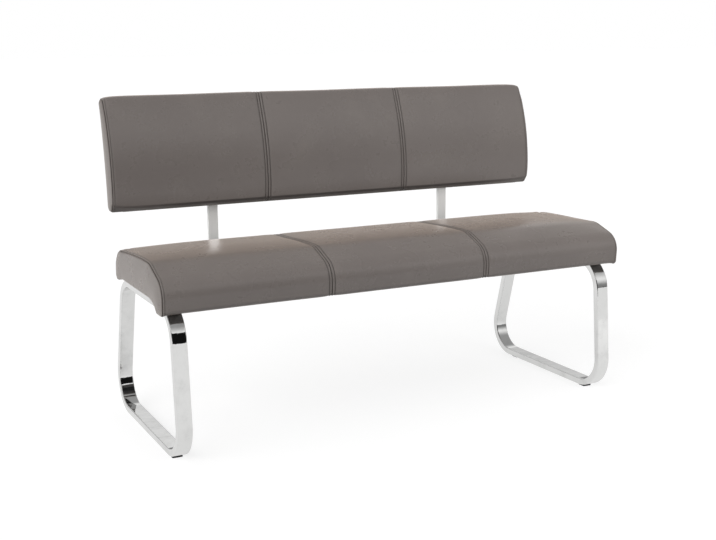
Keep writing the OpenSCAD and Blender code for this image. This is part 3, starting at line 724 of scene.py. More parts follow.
# %% Settings of the simulation
coarser, frames, spacing = 2.2, 20, 11 * mm
end_d, end_r = 6 * mm, 9 * mm
pin_step, seam_pin, end_pin = 10 * mm, 9 * mm, 8 * mm
foam_cloth = {
    "quality": 6, "mass": 0.4, "tension_stiffness": 60, "compression_stiffness": 60, "shear_stiffness": 8,
    "bending_stiffness": 2, "use_pressure": True, "uniform_pressure_force": 4}


def evenly(start, end, step):
    """Places from start to end, about a step apart."""
    return np.linspace(start, end, max(2, round((end - start) / step) + 1))


def places_along(parts):
    """Places on both sides of the middle, about one spacing apart in each part."""
    return sorted({
        round(side * float(x), 6)
        for a, b in zip(parts, parts[1:]) for side in (-1, 1) for x in evenly(a, b, spacing)})


def length_of(moves):
    return np.linalg.norm(moves, axis=1, keepdims=True)


print("the cloth is simulated for", frames, "frames")


# %% Blow up a skin
def blown(name, section, half, seam_x, tight_below, cap):
    """How far each point of a coarse skin moves: places along X, moves, and shares round the skin."""
    reach = half - end_d
    places = places_along([0, seam_x - pin_step, seam_x, seam_x + pin_step, reach - pin_step, reach])
    count = len(section)
    points = [(x, y, z) for x in places for y, z, *_ in section]
    caps = [tuple(range(count)), tuple(reversed(range(len(points) - count, len(points))))]
    skin = mesh_object(name, points, faces_between(len(places), count) + caps)
    turned_outwards(skin)
    held = skin.vertex_groups.new(name="held")
    for i, x in enumerate(places):
        pinned = abs(abs(x) - seam_x) < seam_pin or abs(x) > reach - end_pin
        for j, (_, z, seen, _) in enumerate(section):
            if pinned or seen < 0.5 or z < tight_below:
                held.add([i * count + j], 1.0, "REPLACE")
    cloth = skin.modifiers.new("foam", "CLOTH")
    for label, value in foam_cloth.items():
        setattr(cloth.settings, label, value)
    cloth.settings.vertex_group_mass = "held"
    cloth.settings.effector_weights.gravity = 0
    cloth.point_cache.frame_start, cloth.point_cache.frame_end = 1, frames
    scene = bpy.context.scene
    for moment in range(1, frames + 1):
        scene.frame_set(moment)
    graph = bpy.context.evaluated_depsgraph_get()
    after = skin.evaluated_get(graph).to_mesh()
    moved = np.array([v.co for v in after.vertices]) - np.array(points)
    length = length_of(moved)
    capped = moved * (cap * np.tanh(length / cap / 2) / np.maximum(length, 1e-9))
    scene.frame_set(1)
    bpy.data.objects.remove(skin)
    most, kept = float(length.max()), float(length_of(capped).max())
    print(name, "moved up to", round(most, 4), "m, capped to", round(kept, 4))
    return np.array(places), capped.reshape(len(places), count, 3), shares_round(section)[0]


# %% Carry the movement over to a finer skin
def between(values, spots, wanted):
    """Smooth values at wanted places, from values at spots, along the first axis."""
    at = np.interp(wanted, spots, np.arange(len(spots)))
    first = np.clip(np.floor(at).astype(int), 0, len(spots) - 2)
    share = (at - first).reshape(-1, *[1] * (values.ndim - 1))
    p = [values[np.clip(first + k, 0, len(spots) - 1)] for k in (-1, 0, 1, 2)]
    cube = 3 * (p[1] - p[2]) + p[3] - p[0]
    square = 2 * p[0] - 5 * p[1] + 4 * p[2] - p[3]
    return p[1] + 0.5 * share * (p[2] - p[0] + share * (square + share * cube))


def carried(lift, wanted, shares):
    """The simulated movement at wanted places along the skin and shares round it."""
    spots, moves, coarse_shares = lift
    along = between(moves, spots, np.clip(wanted, spots[0], spots[-1]))
    ringed = np.concatenate([along, along[:, :1]], axis=1).transpose(1, 0, 2)
    return between(ringed, np.append(coarse_shares, 1.0), shares).transpose(1, 0, 2)


halfway = between(np.array([[0.0], [1.0], [4.0]]), np.array([0.0, 1.0, 2.0]), np.array([1.5]))
print("between 0, 1 and 4, halfway:", halfway[0])

# %% [markdown]
# ### Seams and end panels
#
# Where two sections meet, the leatherette is folded in and sewn, and a row of stitches runs down each
# side to hold the seam allowance flat. From the seam outwards that makes a narrow groove, a slightly
# raised ridge, a shallow trough with the stitches in it, and then the section swells. At each end an
# upright panel is sewn on round the edge, with one row of stitches beside it. These shapes are depths
# that depend only on the distance from the seam. The same distances say how much shade is painted into
# the colour of the groove and the stitch rows.

# %% Depth of a seam
row_off, end_row_off = 8 * mm, 3 * mm
groove_d, groove_w = 1.9 * mm, 1.4 * mm
ridge_h, ridge_off, ridge_w = 0.5 * mm, 4.2 * mm, 2.2 * mm
trough_d, trough_w = 1.3 * mm, 1.5 * mm
drawn_d, drawn_w = 1.3 * mm, 16 * mm
# Painted shade: the groove and the stitch row are darkened in the colour by these amounts, over this width.
painted_shade_w, groove_dark, row_dark = 1.6 * mm, 0.9, 0.85


def dip(distance, width):
    return math.exp(-((distance / width) ** 2))


def seam_depth(distance):
    """How far the skin lies in, at a distance from a seam between two sections."""
    ridge = ridge_h * dip(distance - ridge_off, ridge_w)
    groove = groove_d * dip(distance, groove_w)
    trough = trough_d * dip(distance - row_off, trough_w)
    return drawn_d * dip(distance, drawn_w) + groove + trough - ridge


def seam_shade(distance):
    return groove_dark * dip(distance, painted_shade_w) + row_dark * dip(distance - row_off, painted_shade_w)


print("depth at the seam:", round(seam_depth(0) / mm, 2), "mm")
print("depth in the stitch row:", round(seam_depth(row_off) / mm, 2), "mm")

# %% Places of the stations, in millimetres and degrees
beside_seam = [0, 0.5, 1.0, 1.6, 2.4, 3.6, 5.2, 6.3, 7.2, 8, 8.8, 9.7, 11.5, 15, 21, 29]
beside_end = [0, 1, 1.8, 2.4, 3, 3.6, 4.2, 5, 7, 10, 15, 21]
round_edge = [8, 15, 21, 26, 30, 34, 38, 43, 50, 58, 67, 78, 90]
plain_spacing = 8 * mm
# Painted shade: the end row's trough and the groove round the end panel's edge are darkened in the colour.
end_trough_d, end_trough_w, end_row_dark = 1.0 * mm, 1.3 * mm, 0.35
edge_seam_a, edge_per_degree = 32, 0.13 * mm
edge_d, edge_w, edge_shade_off, edge_shade_w = 2.2 * mm, 1.2 * mm, 0.5 * mm, 1.5 * mm
print("stations beside a seam:", 2 * len(beside_seam) - 1)


# %% Stations along a skin
def skin_stations(half, seam_x):
    """For each station its place along X, angle round the end, inset of the section, depth and shade."""
    reach = half - end_d
    marks = {0.0}
    marks |= {seam_x + side * d * mm for d in beside_seam for side in (-1, 1)}
    marks |= {reach - d * mm for d in beside_end}
    plain_to, plain_from = seam_x - beside_seam[-1] * mm, seam_x + beside_seam[-1] * mm
    for a, b in ((0, plain_to), (plain_from, reach - beside_end[-1] * mm)):
        marks |= set(evenly(a, b, plain_spacing))
    right_side = []
    for x in sorted(marks):
        from_seam = abs(x - seam_x)
        from_row = reach - end_row_off - x
        depth = seam_depth(from_seam) + end_trough_d * dip(from_row, end_trough_w)
        shade = seam_shade(from_seam) + end_row_dark * dip(from_row, end_trough_w)
        right_side.append((x, 0.0, 0.0, depth, shade))
    for angle in round_edge:
        a = math.radians(angle)
        from_edge = (angle - edge_seam_a) * edge_per_degree
        depth = edge_d * dip(from_edge, edge_w)
        shade = dip(from_edge - edge_shade_off, edge_shade_w)
        x, inset = half - end_d * (1 - math.sin(a)), end_r * (1 - math.cos(a))
        right_side.append((x, a, inset, depth, shade))
    left_side = [(-x, a, inset, depth, shade) for x, a, inset, depth, shade in right_side[:0:-1]]
    return left_side + right_side


seat_seam_x, back_seam_x = 238 * mm, 227 * mm
print("stations on the seat:", len(skin_stations(seat_half, seat_seam_x)))

# %% Puckers
seam_ripples, seam_pucker_h, seam_pucker_off, seam_pucker_w = 52, 0.45 * mm, 13 * mm, 18 * mm
end_ripples, end_pucker_h, end_pucker_off, end_pucker_w = 48, 0.4 * mm, 15 * mm, 16 * mm
pucker_start, pucker_reach = 10 * mm, 60 * mm
slow_h, slow_along, slow_round = 0.5 * mm, 6, 9


def puckers(x, share, half, seam_x, seed):
    """Small folds beside the seams, where the thread gathers the skin. Positive is proud."""
    # The plain numbers in the noise only keep the two ends and the two sides of a seam from being alike.
    from_seam, from_end = abs(abs(x) - seam_x), half - abs(x)
    side = 3.0 if abs(x) > seam_x else 0.0
    height = 0.0
    if pucker_start < from_seam < pucker_reach:
        ripple = noise.noise(Vector((share * seam_ripples, side + seed, 7 * math.copysign(1, x))))
        height += seam_pucker_h * ripple * dip(from_seam - seam_pucker_off, seam_pucker_w)
    if end_d < from_end < pucker_reach:
        ripple = noise.noise(Vector((share * end_ripples, 11 + seed, 5 * math.copysign(1, x))))
        height += end_pucker_h * ripple * dip(from_end - end_pucker_off, end_pucker_w)
    return height + slow_h * noise.noise(Vector((x * slow_along, share * slow_round, seed)))


sample = puckers(seat_seam_x + seam_pucker_off, 0.6, seat_half, seat_seam_x, 1.0)
print("a pucker beside the seam:", round(sample / mm, 3), "mm")

# %% End panel: a mesh inside a closed edge
panel_spacing, swell_w = 9 * mm, 16 * mm
row_spacing, edge_clear = panel_spacing * 0.866, panel_spacing * 0.55


def inside(edge, y, z):
    """Whether a place lies inside a closed edge and well away from it."""
    crossings = sum(
        (a[1] > z) != (b[1] > z) and y < (b[0] - a[0]) * (z - a[1]) / (b[1] - a[1]) + a[0]
        for a, b in zip(edge, np.roll(edge, -1, axis=0)))
    return crossings % 2 and np.min(np.hypot(edge[:, 0] - y, edge[:, 1] - z)) > edge_clear


def panel_mesh(edge, swell):
    """Triangles inside a closed edge of (y, z) points, and how far each point swells out."""
    flat = [Vector(p) for p in edge]
    low, high = edge.min(axis=0), edge.max(axis=0)
    inner = []
    for row, z in enumerate(np.arange(low[1], high[1], row_spacing)):
        ys = np.arange(low[0] + (row % 2) * panel_spacing / 2, high[0], panel_spacing)
        inner += [Vector((y, z)) for y in ys if inside(edge, y, z)]
    ring = [(k, (k + 1) % len(flat)) for k in range(len(flat))]
    points, _, faces, *_ = geometry.delaunay_2d_cdt(flat + inner, ring, [], 1, 1e-7)
    if len(points) != len(flat) + len(inner):
        print("the panel's edge crosses itself:", len(points) - len(flat) - len(inner), "points more")
    away = [np.min(np.hypot(edge[:, 0] - p.x, edge[:, 1] - p.y)) for p in points]
    return points, faces, [swell * (1 - math.exp(-d / swell_w)) for d in away]


print("panel helper ready")

# %% [markdown]
# ### The finished cover
#
# Everything meets here: section, stations, seam depths, puckers and the movement from the simulation. The
# rings at each end turn the skin round the edge, and the end panel closes it. The places where a row of
# stitches runs are kept as lines, with the direction out of the skin at each point, for the next step.

# %% From one value to another
def share_of(value, start, end):
    """0 at start, 1 at end and even between them."""
    return min(1.0, max(0.0, (value - start) / (end - start)))


def ease(value, start, end):
    """0 at start, 1 at end and smooth between them."""
    share = share_of(value, start, end)
    return share * share * (3 - 2 * share)


def fading(distance, reach):
    return math.exp(-distance / reach)


print("a quarter of the way eases to", ease(0.25, 0, 1))

# %% Points of a cover
# Towards the ends the painted shade on the back's folded edge gets lighter.
edge_roundness, fold_end_dark, fold_end_reach = 0.85, 0.45, 240 * mm
round_over = range(-5, 6)


def skin_points(section, stations, half, seam_x, seed, rise, extra):
    """The skin's points, ring by ring, and how much painted shade each point gets."""
    shares, _ = shares_round(section)
    out = outward(section)
    count = len(section)
    seen = section[:, 2]
    nearby = sum(np.roll(seen, k) for k in round_over)
    rounded = 1 - edge_roundness + edge_roundness * nearby / len(round_over)
    points, shades = [], []
    for x, angle, inset, depth, shade in stations:
        upright, sideways = math.cos(angle), math.copysign(1, x) * math.sin(angle)
        fold_dark_here = fold_end_dark + (1 - fold_end_dark) * ease(half - abs(x), 0, fold_end_reach)
        for j in range(count):
            visible = seen[j] if angle == 0 else 1.0
            fold = puckers(x, shares[j], half, seam_x, seed) * seen[j] * upright
            if extra:
                fold += extra(x, section[j, 0], section[j, 1])
            away = fold - depth * visible
            y, z = section[j, :2] - inset * rounded[j] * out[j] + away * upright * out[j]
            points.append((x + away * sideways, y, z + rise(x, y, z)))
            shades.append(max(shade * visible, section[j, 3] * fold_dark_here))
    return np.array(points).reshape(len(stations), count, 3), shades


def line_on_skin(points, station, seen):
    """The seen part of a station as a line of (place, direction out of the skin)."""
    ring = points[station]
    along = np.roll(ring, -1, axis=0) - np.roll(ring, 1, axis=0)
    across = points[station + 1] - points[station - 1]
    away = np.cross(across, along)
    away /= np.linalg.norm(away, axis=1, keepdims=True)
    return [(ring[j], away[j]) for j in range(len(ring)) if seen[j] > 0.5]


print("point builder ready")

# %% Build a cover
same_place, merge_below = 0.01 * mm, 0.02 * mm


def cover(name, section, half, seam_x, lift, seed, rise, panel_swell, extra=None):
    """One closed skin. Returns the piece and the lines of its stitch rows."""
    stations = skin_stations(half, seam_x)
    count = len(section)
    points, shades = skin_points(section, stations, half, seam_x, seed, rise, extra)
    if lift:
        wanted = np.array([x for x, *_ in stations])
        free = (np.abs(wanted) < half - end_d)[:, None, None]
        points += carried(lift, wanted, shares_round(section)[0]) * free
    faces = faces_between(len(stations), count)
    flat_points = [tuple(p) for p in points.reshape(-1, 3)]
    for station, side in ((0, -1), (len(stations) - 1, 1)):
        panel, panel_faces, swell = panel_mesh(points[station][:, 1:], panel_swell)
        numbers = list(range(station * count, (station + 1) * count))
        numbers += range(len(flat_points), len(flat_points) + len(panel) - count)
        flat_points += [(side * (half + s), p.x, p.y) for p, s in zip(panel[count:], swell[count:])]
        shades += [0.0] * (len(panel) - count)
        faces += [tuple(numbers[v] for v in face) for face in panel_faces]
    piece = mesh_object(name, flat_points, faces)
    # Each point's painted shade is stored on the mesh for the leatherette.
    stored = piece.data.attributes.new("seam", "FLOAT", "POINT")
    stored.data.foreach_set("value", shades)
    open_edges = turned_outwards(piece, merge_below)
    piece.data.polygons.foreach_set("use_smooth", [True] * len(piece.data.polygons))
    piece.data.materials.append(leatherette)
    rows = []
    for i, (x, angle, *_) in enumerate(stations):
        at_seam = abs(abs(abs(x) - seam_x) - row_off) < same_place
        at_end = angle == 0 and abs(abs(x) - (half - end_d - end_row_off)) < same_place
        if at_seam or at_end:
            rows.append(line_on_skin(points, i, section[:, 2]))
    print(name, "triangles", triangles(piece), "open edges", open_edges, "stitch rows", len(rows))
    return piece, rows


# %% [markdown]
# ### The seat
#
# The seat's rear corners have the only loose folds on the bench: the leatherette is gathered there round
# a tight corner, and a few small folds fan out from it. They are added as a ripple that depends on the
# angle round the corner. The foam isn't equally thick everywhere either: the seat stands higher between
# its ends, its right end is drawn down, its left end a trace up, and the lip hangs a little lower at both
# ends.

# %% Folds at the seat's rear corners
corner_in_x, corner_in_y, corner_reach, corner_rise = 4 * mm, 34 * mm, 130 * mm, 40 * mm
corner_fold_h, corner_fold_off, corner_fold_w, corner_start = 1.5 * mm, 26 * mm, 34 * mm, 14 * mm
corner_waves, fine_waves, fine_share = 8, 15, 0.4
left_turn, right_turn = 2.0, 0.4


def corner_folds(x, y, z):
    """Folds that fan out from the rear corners of the seat's top."""
    off_x, off_y = abs(x) - (seat_half - corner_in_x), y - (seat_rear - corner_in_y)
    reach = math.hypot(off_x, off_y)
    if reach > corner_reach or z < seat_z + corner_rise:
        return 0.0
    angle = math.atan2(off_y, -off_x)
    turn = left_turn if x < 0 else right_turn
    ripple = math.sin(angle * corner_waves + turn)
    ripple += fine_share * math.sin(angle * fine_waves + 2 * turn)
    height = corner_fold_h * ripple * dip(reach - corner_fold_off, corner_fold_w)
    return height * min(1.0, reach / corner_start)


sample = corner_folds(-0.65, seat_rear - 0.06, crown_z)
print("a fold near the left corner:", round(sample / mm, 2), "mm")

# %% Height of the seat's foam
full_rear, full_more, full_reach = 2.5 * mm, 7 * mm, 70 * mm
right_drop, left_drop, drop_reach = 7.5 * mm, -1.5 * mm, 60 * mm
lip_turn, lip_reach = 6 * mm, 9 * mm
full_to_rear = seat_rear - 175 * mm, seat_rear - 25 * mm
drop_to_front, drop_from_lip = (100 * mm, -100 * mm), (seat_front - 5 * mm, seat_front + 145 * mm)
turn_down, turn_to_front = (lip_z + 36 * mm, lip_z + 12 * mm), (seat_front + 70 * mm, seat_front + 40 * mm)
above_underside = seat_z + 16 * mm, seat_z + 48 * mm


def seat_rise(x, y, z):
    """How far a point of the seat stands above the plain section."""
    from_end = seat_half - abs(x)
    full = full_rear + full_more * share_of(y, *full_to_rear) ** 2
    full *= 1 - fading(from_end, full_reach)
    drop = (right_drop if x > 0 else left_drop) * fading(from_end, drop_reach)
    drop *= ease(y, *drop_to_front) * ease(y, *drop_from_lip)
    turn = lip_turn * fading(from_end, lip_reach) * ease(z, *turn_down) * ease(y, *turn_to_front)
    return (full - drop) * ease(z, *above_underside) - turn


print("the crown's rise in the middle:", round(seat_rise(0, 0, crown_z) / mm, 2), "mm")

# %% Seat
seat_tight_below, seat_cap = lip_z + 24 * mm, 3.5 * mm
seat_lift = None
seat_lift = blown(
    "seat_skin", seat_section(coarser), seat_half, seat_seam_x, seat_tight_below, seat_cap)
seat, seat_rows = cover(
    "seat_upholstery", seat_section(1), seat_half, seat_seam_x, seat_lift, seed=1.0, rise=seat_rise,
    panel_swell=4 * mm, extra=corner_folds)
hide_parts("seat_cover", "seat_foam")
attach(seat, "root")

# %% [markdown]
# ### The back
#
# The back is the same cover on its own section. Its foam pushes the top edge up between the ends, the
# corners are drawn in above, and the lower corners are drawn up.

# %% Height of the back's foam
top_rise, top_rise_reach, top_corner, top_corner_reach = 3 * mm, 40 * mm, 7 * mm, 9 * mm
low_rise, low_rise_reach, low_corner, low_corner_reach = 7 * mm, 38 * mm, 2 * mm, 8 * mm
before_strip = strip_low.y + 1 * mm, strip_low.y - 16 * mm
near_top, near_bottom = (back_top - 60 * mm, back_top - 10 * mm), (back_z + 55 * mm, back_z + 10 * mm)


def back_rise(x, y, z):
    """How far a point of the back stands above the plain section."""
    from_end = back_half - abs(x)
    top = top_rise * (1 - fading(from_end, top_rise_reach))
    top -= top_corner * fading(from_end, top_corner_reach)
    low = low_rise * fading(from_end, low_rise_reach) + low_corner * fading(from_end, low_corner_reach)
    return top * ease(z, *near_top) + low * ease(y, *before_strip) * ease(z, *near_bottom)


print("the top edge's rise in the middle:", round(back_rise(0, 0, back_top) / mm, 2), "mm")

# %% Back
back_tight_below, back_cap = back_z + 16 * mm, 2.2 * mm
back_lift = None
back_lift = blown(
    "back_skin", back_section(coarser), back_half, back_seam_x, back_tight_below, back_cap)
back, back_rows = cover(
    "back_upholstery", back_section(1), back_half, back_seam_x, back_lift, seed=4.0, rise=back_rise,
    panel_swell=2.2 * mm)
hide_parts("back_cover", "back_foam")
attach(back, "root")

# %% [markdown]
# ## Stitches
#
# Each row has more than a hundred stitches, all alike, which is a job for Geometry Nodes. The row's line
# is cut at an even pitch, and on each point lies one stitch: a short arc of thread whose ends dive into
# the skin. Two nodes turn it, one along the line and one out of the skin, which was stored on the line as
# "out".

# %% Geometry tree: a row of small pieces
stitch_tree, given, result = group(
    "GeometryNodeTree", "row_of_stitches",
    [("Geometry", "NodeSocketGeometry", None), ("Pitch", "NodeSocketFloat", 0.005),
     ("Length", "NodeSocketFloat", 0.0042), ("Thickness", "NodeSocketFloat", 0.0008),
     ("Rise", "NodeSocketFloat", 0.001), ("Sink", "NodeSocketFloat", 0.0006),
     ("Material", "NodeSocketMaterial", None)],
    [("Geometry", "NodeSocketGeometry")])
stitch_tree.is_modifier = True
line = node(stitch_tree, "GeometryNodeMeshToCurve", {"Mesh": given["Geometry"]})
even = node(
    stitch_tree, "GeometryNodeResampleCurve", {"Curve": line.outputs[0], "Length": given["Pitch"]},
    mode="LENGTH")
half_length = math_node(stitch_tree, "MULTIPLY", given["Length"], 0.5)
under = math_node(stitch_tree, "MULTIPLY", given["Sink"], -1.0)
ends = [
    node(stitch_tree, "ShaderNodeCombineXYZ", {"X": x, "Z": under}).outputs[0]
    for x in (math_node(stitch_tree, "MULTIPLY", half_length, -1.0), half_length)]
crown = node(stitch_tree, "ShaderNodeCombineXYZ", {"Z": given["Rise"]})
bow = node(
    stitch_tree, "GeometryNodeCurveQuadraticBezier",
    {"Start": ends[0], "Middle": crown.outputs[0], "End": ends[1], "Resolution": 4})
radius = math_node(stitch_tree, "MULTIPLY", given["Thickness"], 0.5)
ring = node(stitch_tree, "GeometryNodeCurvePrimitiveCircle", {"Resolution": 6, "Radius": radius})
strand = node(
    stitch_tree, "GeometryNodeCurveToMesh",
    {"Curve": bow.outputs[0], "Profile Curve": ring.outputs[0], "Fill Caps": True})
strand = node(stitch_tree, "GeometryNodeSetShadeSmooth", {"Geometry": strand.outputs[0]})
along = node(stitch_tree, "GeometryNodeInputTangent")
out_of_skin = node(
    stitch_tree, "GeometryNodeInputNamedAttribute", {"Name": "out"}, data_type="FLOAT_VECTOR")
turned = node(stitch_tree, "FunctionNodeAlignRotationToVector", {"Vector": along.outputs[0]}, axis="X")
turned = node(
    stitch_tree, "FunctionNodeAlignRotationToVector",
    {"Rotation": turned.outputs[0], "Vector": out_of_skin.outputs[0]}, axis="Z", pivot_axis="X")
laid = node(
    stitch_tree, "GeometryNodeInstanceOnPoints",
    {"Points": even.outputs[0], "Instance": strand.outputs[0], "Rotation": turned.outputs[0]})
real = node(stitch_tree, "GeometryNodeRealizeInstances", {"Geometry": laid.outputs[0]})
dressed = node(
    stitch_tree, "GeometryNodeSetMaterial", {"Geometry": real.outputs[0], "Material": given["Material"]})
stitch_tree.links.new(dressed.outputs[0], result["Geometry"])
print("tree row_of_stitches:", len(stitch_tree.nodes), "nodes")


# %% Lay rows on the covers
def row_carrier(rows):
    """Edges along each row, with the direction out of the skin stored at each point."""
    points, edges, outs = [], [], []
    for row in rows:
        edges += [(len(points) + k, len(points) + k + 1) for k in range(len(row) - 1)]
        points += [place for place, _ in row]
        outs += [away for _, away in row]
    carrier = mesh_object("rows", points, edges=edges)
    stored = carrier.data.attributes.new("out", "FLOAT_VECTOR", "POINT")
    stored.data.foreach_set("vector", np.array(outs, dtype=np.float32).ravel())
    return carrier


for name, rows in (("seat_stitches", seat_rows), ("back_stitches", back_rows)):
    stitches = grown(
        name, row_carrier(rows), stitch_tree, Pitch=5.2 * mm, Length=4.3 * mm, Thickness=0.9 * mm,
        Rise=1.3 * mm, Sink=0.5 * mm, Material=thread)
    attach(stitches, "root")
    print(name, "triangles", triangles(stitches))

# %% [markdown]
# ## Under the seat
#
# Nobody sees the underside from where the photograph was taken, but the bench is a part that may be
# turned over. A black non-woven lining closes the opening in the cover. It is a sheet that is stapled at
# its ends and held under both rails, so it sags a few millimetres between them, with small waves near the
# staples.

# %% Lining of the seat
low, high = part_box("seat_dust_cover")
wide, deep = high.x - low.x, high.y - low.y
columns, rows_deep, cloth_t, cloth_lift = 160, 30, 0.5 * mm, 0.2 * mm
sag_depth, sag_reach, wave_h, ripple_h, ripple_reach = 2.2 * mm, 60 * mm, 0.9 * mm, 0.5 * mm, 30 * mm
front_rail_share, rear_rail_share = 0.19, 0.97
wave_along, wave_across, ripple_rate = 9, 14, 180


def lining_point(u, v):
    """A place on the lining, from its shares across and along the opening."""
    x, y = low.x + wide * u, low.y + deep * v
    from_end = min(u, 1 - u) * wide
    between_rails = math.sin(math.pi * share_of(v, front_rail_share, rear_rail_share))
    free = min(1.0, from_end / sag_reach)
    wave = noise.noise(Vector((x * wave_along, y * wave_across, 2.0))) * wave_h
    ripple = math.sin(y * ripple_rate) * ripple_h * dip(from_end, ripple_reach)
    sag = (sag_depth * free + wave * free + ripple) * between_rails
    return x, y, low.z + cloth_lift - max(0.0, sag)


points = [
    lining_point(i / columns, j / rows_deep) for i in range(columns + 1) for j in range(rows_deep + 1)]
corners = [i * (rows_deep + 1) + j for i in range(columns) for j in range(rows_deep)]
faces = [(c, c + 1, c + rows_deep + 2, c + rows_deep + 1) for c in corners]
dust_cover = mesh_object("seat_lining", points, faces)
dust_cover.data.materials.append(lining)
dust_cover.data.polygons.foreach_set("use_smooth", [True] * len(faces))
thick = dust_cover.modifiers.new("cloth", "SOLIDIFY")
thick.thickness, thick.offset = cloth_t, 0.0
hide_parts("seat_dust_cover")
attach(dust_cover, "root")
print("lining", round(wide, 3), "by", round(deep, 3), "m")

# %% [markdown]
# The staples use the same tree as the stitches. A staple's crown is only a longer, flatter bow of wire.

# %% Staples
staple_in, first_in, last_in, staple_gap, staples_a_side = 5 * mm, 34 * mm, 12 * mm, 0.1 * mm, 12
staple_rows = []
for side in (-1, 1):
    x = side * (high.x - staple_in)
    ys = np.linspace(low.y + first_in, high.y - last_in, staples_a_side)
    staple_rows.append([(Vector((x, y, low.z - staple_gap)), Vector((0, 0, -1))) for y in ys])
staples = grown(
    "lining_staples", row_carrier(staple_rows), stitch_tree, Pitch=19 * mm, Length=11 * mm,
    Thickness=1.1 * mm, Rise=0.9 * mm, Sink=0.7 * mm, Material=zinc)
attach(staples, "root")
print("staples: triangles", triangles(staples))

# %% [markdown]
# The lower edge of the back is closed by a narrow strip, pushed into a slot of the cover. It has the same
# section all along, with soft edges, so the tree that made the legs makes it too.

# %% Closing strip of the back
low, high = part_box("back_base_strip")
middle_y = (low.y + high.y) / 2
path = mesh_object("path", [(low.x, middle_y, low.z), (high.x, middle_y, low.z)], edges=[(0, 1)])
strip = grown(
    "back_strip", path, sweep_tree, even_shading,
    Across=high.y - low.y, Through=1.6 * mm, Edge_radius=0.7 * mm, Edge_steps=3, Material=lining)
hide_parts("back_base_strip")
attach(strip, "root")
print("strip size", size_of(strip))

# %% [markdown]
# ## The solids that stay
#
# Glides, rails, end caps, boards, bolts, washers and tee nuts have their right shape already in the
# frame. They stay where they are and only get their finish.

# %% Finish the solids
finishes = {
    "black_plastic": plastic, "painted_steel": paint, "plywood": plywood, "zinc_steel": zinc,
    "chrome": chrome, "leatherette": leatherette, "foam": leatherette, "lining": lining}
for part in frame["record"]["subparts"]:
    solid = nodes[part["node"]]
    for place_in in solid.material_slots:
        place_in.material = finishes[part["material_slot"]]

# %% [markdown]
# ## Floor, light and surroundings
#
# The photograph has a plain white ground with a very faint shadow. So the floor is almost a lamp itself:
# what the camera sees is mostly its own even white, with a small share of the light that falls on it,
# which is enough for the shadow. The light is a pale sky all round, a wide soft lamp from the left and a
# weak one from the right. Chrome needs more than white: it reflects a dark card that stands in front,
# where only reflections can see it, a sky that is dark near the horizon and near the top, and the floor.
# In the photograph the satin bars throw a soft bright spot on the seat. Two bright strips in front of the
# bars, again only for reflections and only from their front, make those.

# %% World
world = bpy.data.worlds.new("studio")
bpy.context.scene.world = world
world.use_nodes = True
tree = world.node_tree
tree.nodes.clear()
rays = node(tree, "ShaderNodeLightPath").outputs
way = node(tree, "ShaderNodeTexCoord").outputs["Generated"]
up = node(tree, "ShaderNodeSeparateXYZ", {"Vector": way}).outputs["Z"]


def ramp(low, high, start, end):
    """One brightness below low, another above high, both as sines of the angle above the horizon."""
    return node(
        tree, "ShaderNodeMapRange",
        {"Value": up, "From Min": low, "From Max": high, "To Min": start, "To Max": end},
        interpolation_type="SMOOTHSTEP").outputs[0]


even_light = 0.56
wall, ceiling, horizon = (0.10, 0.42, 0.24, 0.94), (0.42, 0.74, 1.0, 0.36), (0.012, 0.04, 0.25, 1.0)
mirrored = math_node(tree, "MULTIPLY", ramp(*wall), ramp(*ceiling))
mirrored = math_node(tree, "MULTIPLY", mirrored, ramp(*horizon))
more = math_node(tree, "SUBTRACT", mirrored, even_light)
unseen = math_node(tree, "MULTIPLY_ADD", rays["Is Glossy Ray"], more, even_light)
direct = math_node(tree, "MAXIMUM", rays["Is Camera Ray"], rays["Is Transmission Ray"])
strength = math_node(tree, "MAXIMUM", direct, unseen)
sky = node(tree, "ShaderNodeBackground", {"Color": (1, 1, 1, 1), "Strength": strength})
node(tree, "ShaderNodeOutputWorld", {"Surface": sky.outputs[0]})
print("world ready")

# %% Floor
def ground_shader(tree, own, lit):
    """Light of its own and a share of the light that falls on it."""
    glow = node(tree, "ShaderNodeEmission", {"Color": (1, 1, 1, 1), "Strength": own})
    matt = node(tree, "ShaderNodeBsdfDiffuse", {"Color": (lit, lit, lit, 1)})
    return node(tree, "ShaderNodeAddShader", {0: glow.outputs[0], 1: matt.outputs[0]}).outputs[0]


reach, bounced = 60, 0.13
seen_own, seen_lit, mirrored_own, mirrored_lit = 0.74, 0.34, 0.57, 0.345
corners = [(-reach, -reach, 0), (reach, -reach, 0), (reach, reach, 0), (-reach, reach, 0)]
floor = mesh_object("floor", corners, [(0, 1, 2, 3)])
ground, tree = bare_material("floor")
rays = node(tree, "ShaderNodeLightPath").outputs
direct = math_node(tree, "MAXIMUM", rays["Is Camera Ray"], rays["Is Transmission Ray"])
bounce = node(tree, "ShaderNodeBsdfDiffuse", {"Color": (bounced, bounced, bounced, 1)})
in_chrome = ground_shader(tree, mirrored_own, mirrored_lit)
seen = ground_shader(tree, seen_own, seen_lit)
chosen = node(
    tree, "ShaderNodeMixShader", {0: rays["Is Glossy Ray"], 1: bounce.outputs[0], 2: in_chrome})
chosen = node(tree, "ShaderNodeMixShader", {0: direct, 1: chosen.outputs[0], 2: seen})
node(tree, "ShaderNodeOutputMaterial", {"Surface": chosen.outputs[0]})
floor.data.materials.append(ground)
print("floor ready")

# %% Dark card for the reflections
def only_for_reflections(thing):
    thing.visible_camera = thing.visible_diffuse = False
    thing.visible_shadow = thing.visible_transmission = False


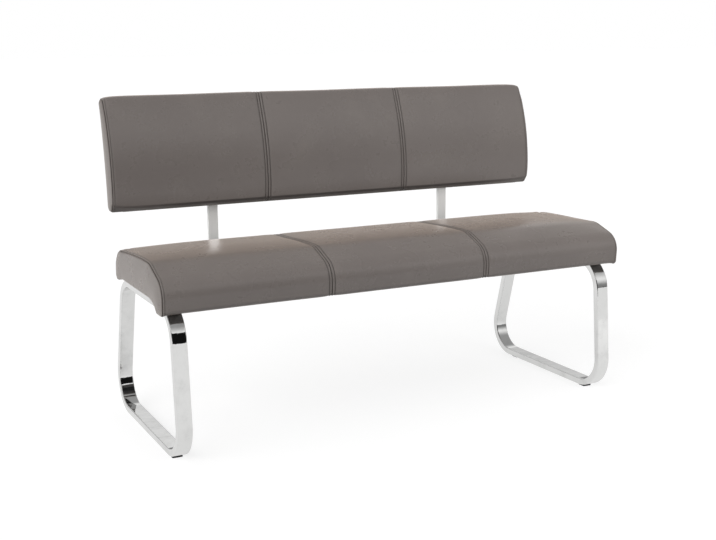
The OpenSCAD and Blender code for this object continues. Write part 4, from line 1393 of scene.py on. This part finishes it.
steps, card_r, card_low, card_top, card_left, card_right = 32, 4.0, 0.01, 2.3, -55, 24
points = [
    (card_r * math.sin(math.radians(a)), -card_r * math.cos(math.radians(a)), z)
    for z in (card_low, card_top) for a in np.linspace(card_left, card_right, steps + 1)]
faces = [(k, k + 1, steps + 2 + k, steps + 1 + k) for k in range(steps)]
card = mesh_object("dark_card", points, faces)
black, tree = bare_material("dark_card")
matt = node(tree, "ShaderNodeBsdfDiffuse", {"Color": (0.02, 0.02, 0.02, 1)})
node(tree, "ShaderNodeOutputMaterial", {"Surface": matt.outputs[0]})
card.data.materials.append(black)
only_for_reflections(card)
print("dark card ready")

# %% Bright strips for the reflections
strip_gap, strip_sink = 0.5 * mm, 20 * mm
for name, strength in (("left_back_bracket", 1.6), ("right_back_bracket", 0.8)):
    shine, tree = bare_material(name + "_shine")
    glow = node(tree, "ShaderNodeEmission", {"Color": (1, 1, 1, 1), "Strength": strength})
    clear = node(tree, "ShaderNodeBsdfTransparent")
    rear_side = node(tree, "ShaderNodeNewGeometry").outputs["Backfacing"]
    chosen = node(tree, "ShaderNodeMixShader", {0: rear_side, 1: glow.outputs[0], 2: clear.outputs[0]})
    node(tree, "ShaderNodeOutputMaterial", {"Surface": chosen.outputs[0]})
    low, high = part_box(name)
    front, foot = high.y - bar_t - strip_gap, crown_z - strip_sink
    corners = [(low.x, foot), (high.x, foot), (high.x, back_z), (low.x, back_z)]
    strip_card = mesh_object(name + "_shine", [(x, front, z) for x, z in corners], [(0, 1, 2, 3)])
    strip_card.data.materials.append(shine)
    only_for_reflections(strip_card)
print("bright strips ready")

# %% Lamps
def hung(name, kind, energy, place, towards):
    """A lamp at a place that shines along a direction, and that no reflection shows."""
    lamp = bpy.data.lights.new(name, kind)
    lamp.energy = energy
    stand = bpy.data.objects.new(name, lamp)
    stand.location = place
    stand.rotation_euler = Vector(towards).to_track_quat("-Z", "Y").to_euler()
    stand.visible_glossy = False
    bpy.context.scene.collection.objects.link(stand)
    return lamp


wide_lamp = hung("left_light", "SUN", 2.9, (-3, -1.5, 1.5), (0.85, 0.42, -0.32))
wide_lamp.angle = math.radians(60)
fill = hung("right_fill", "AREA", 9, (1.7, -1.8, 0.9), (-1.1, 1.8, -0.3))
fill.shape, fill.size, fill.size_y = "RECTANGLE", 1.2, 1.2
print("lamps ready")

# %% View transform
bpy.context.scene.view_settings.view_transform = "Standard"
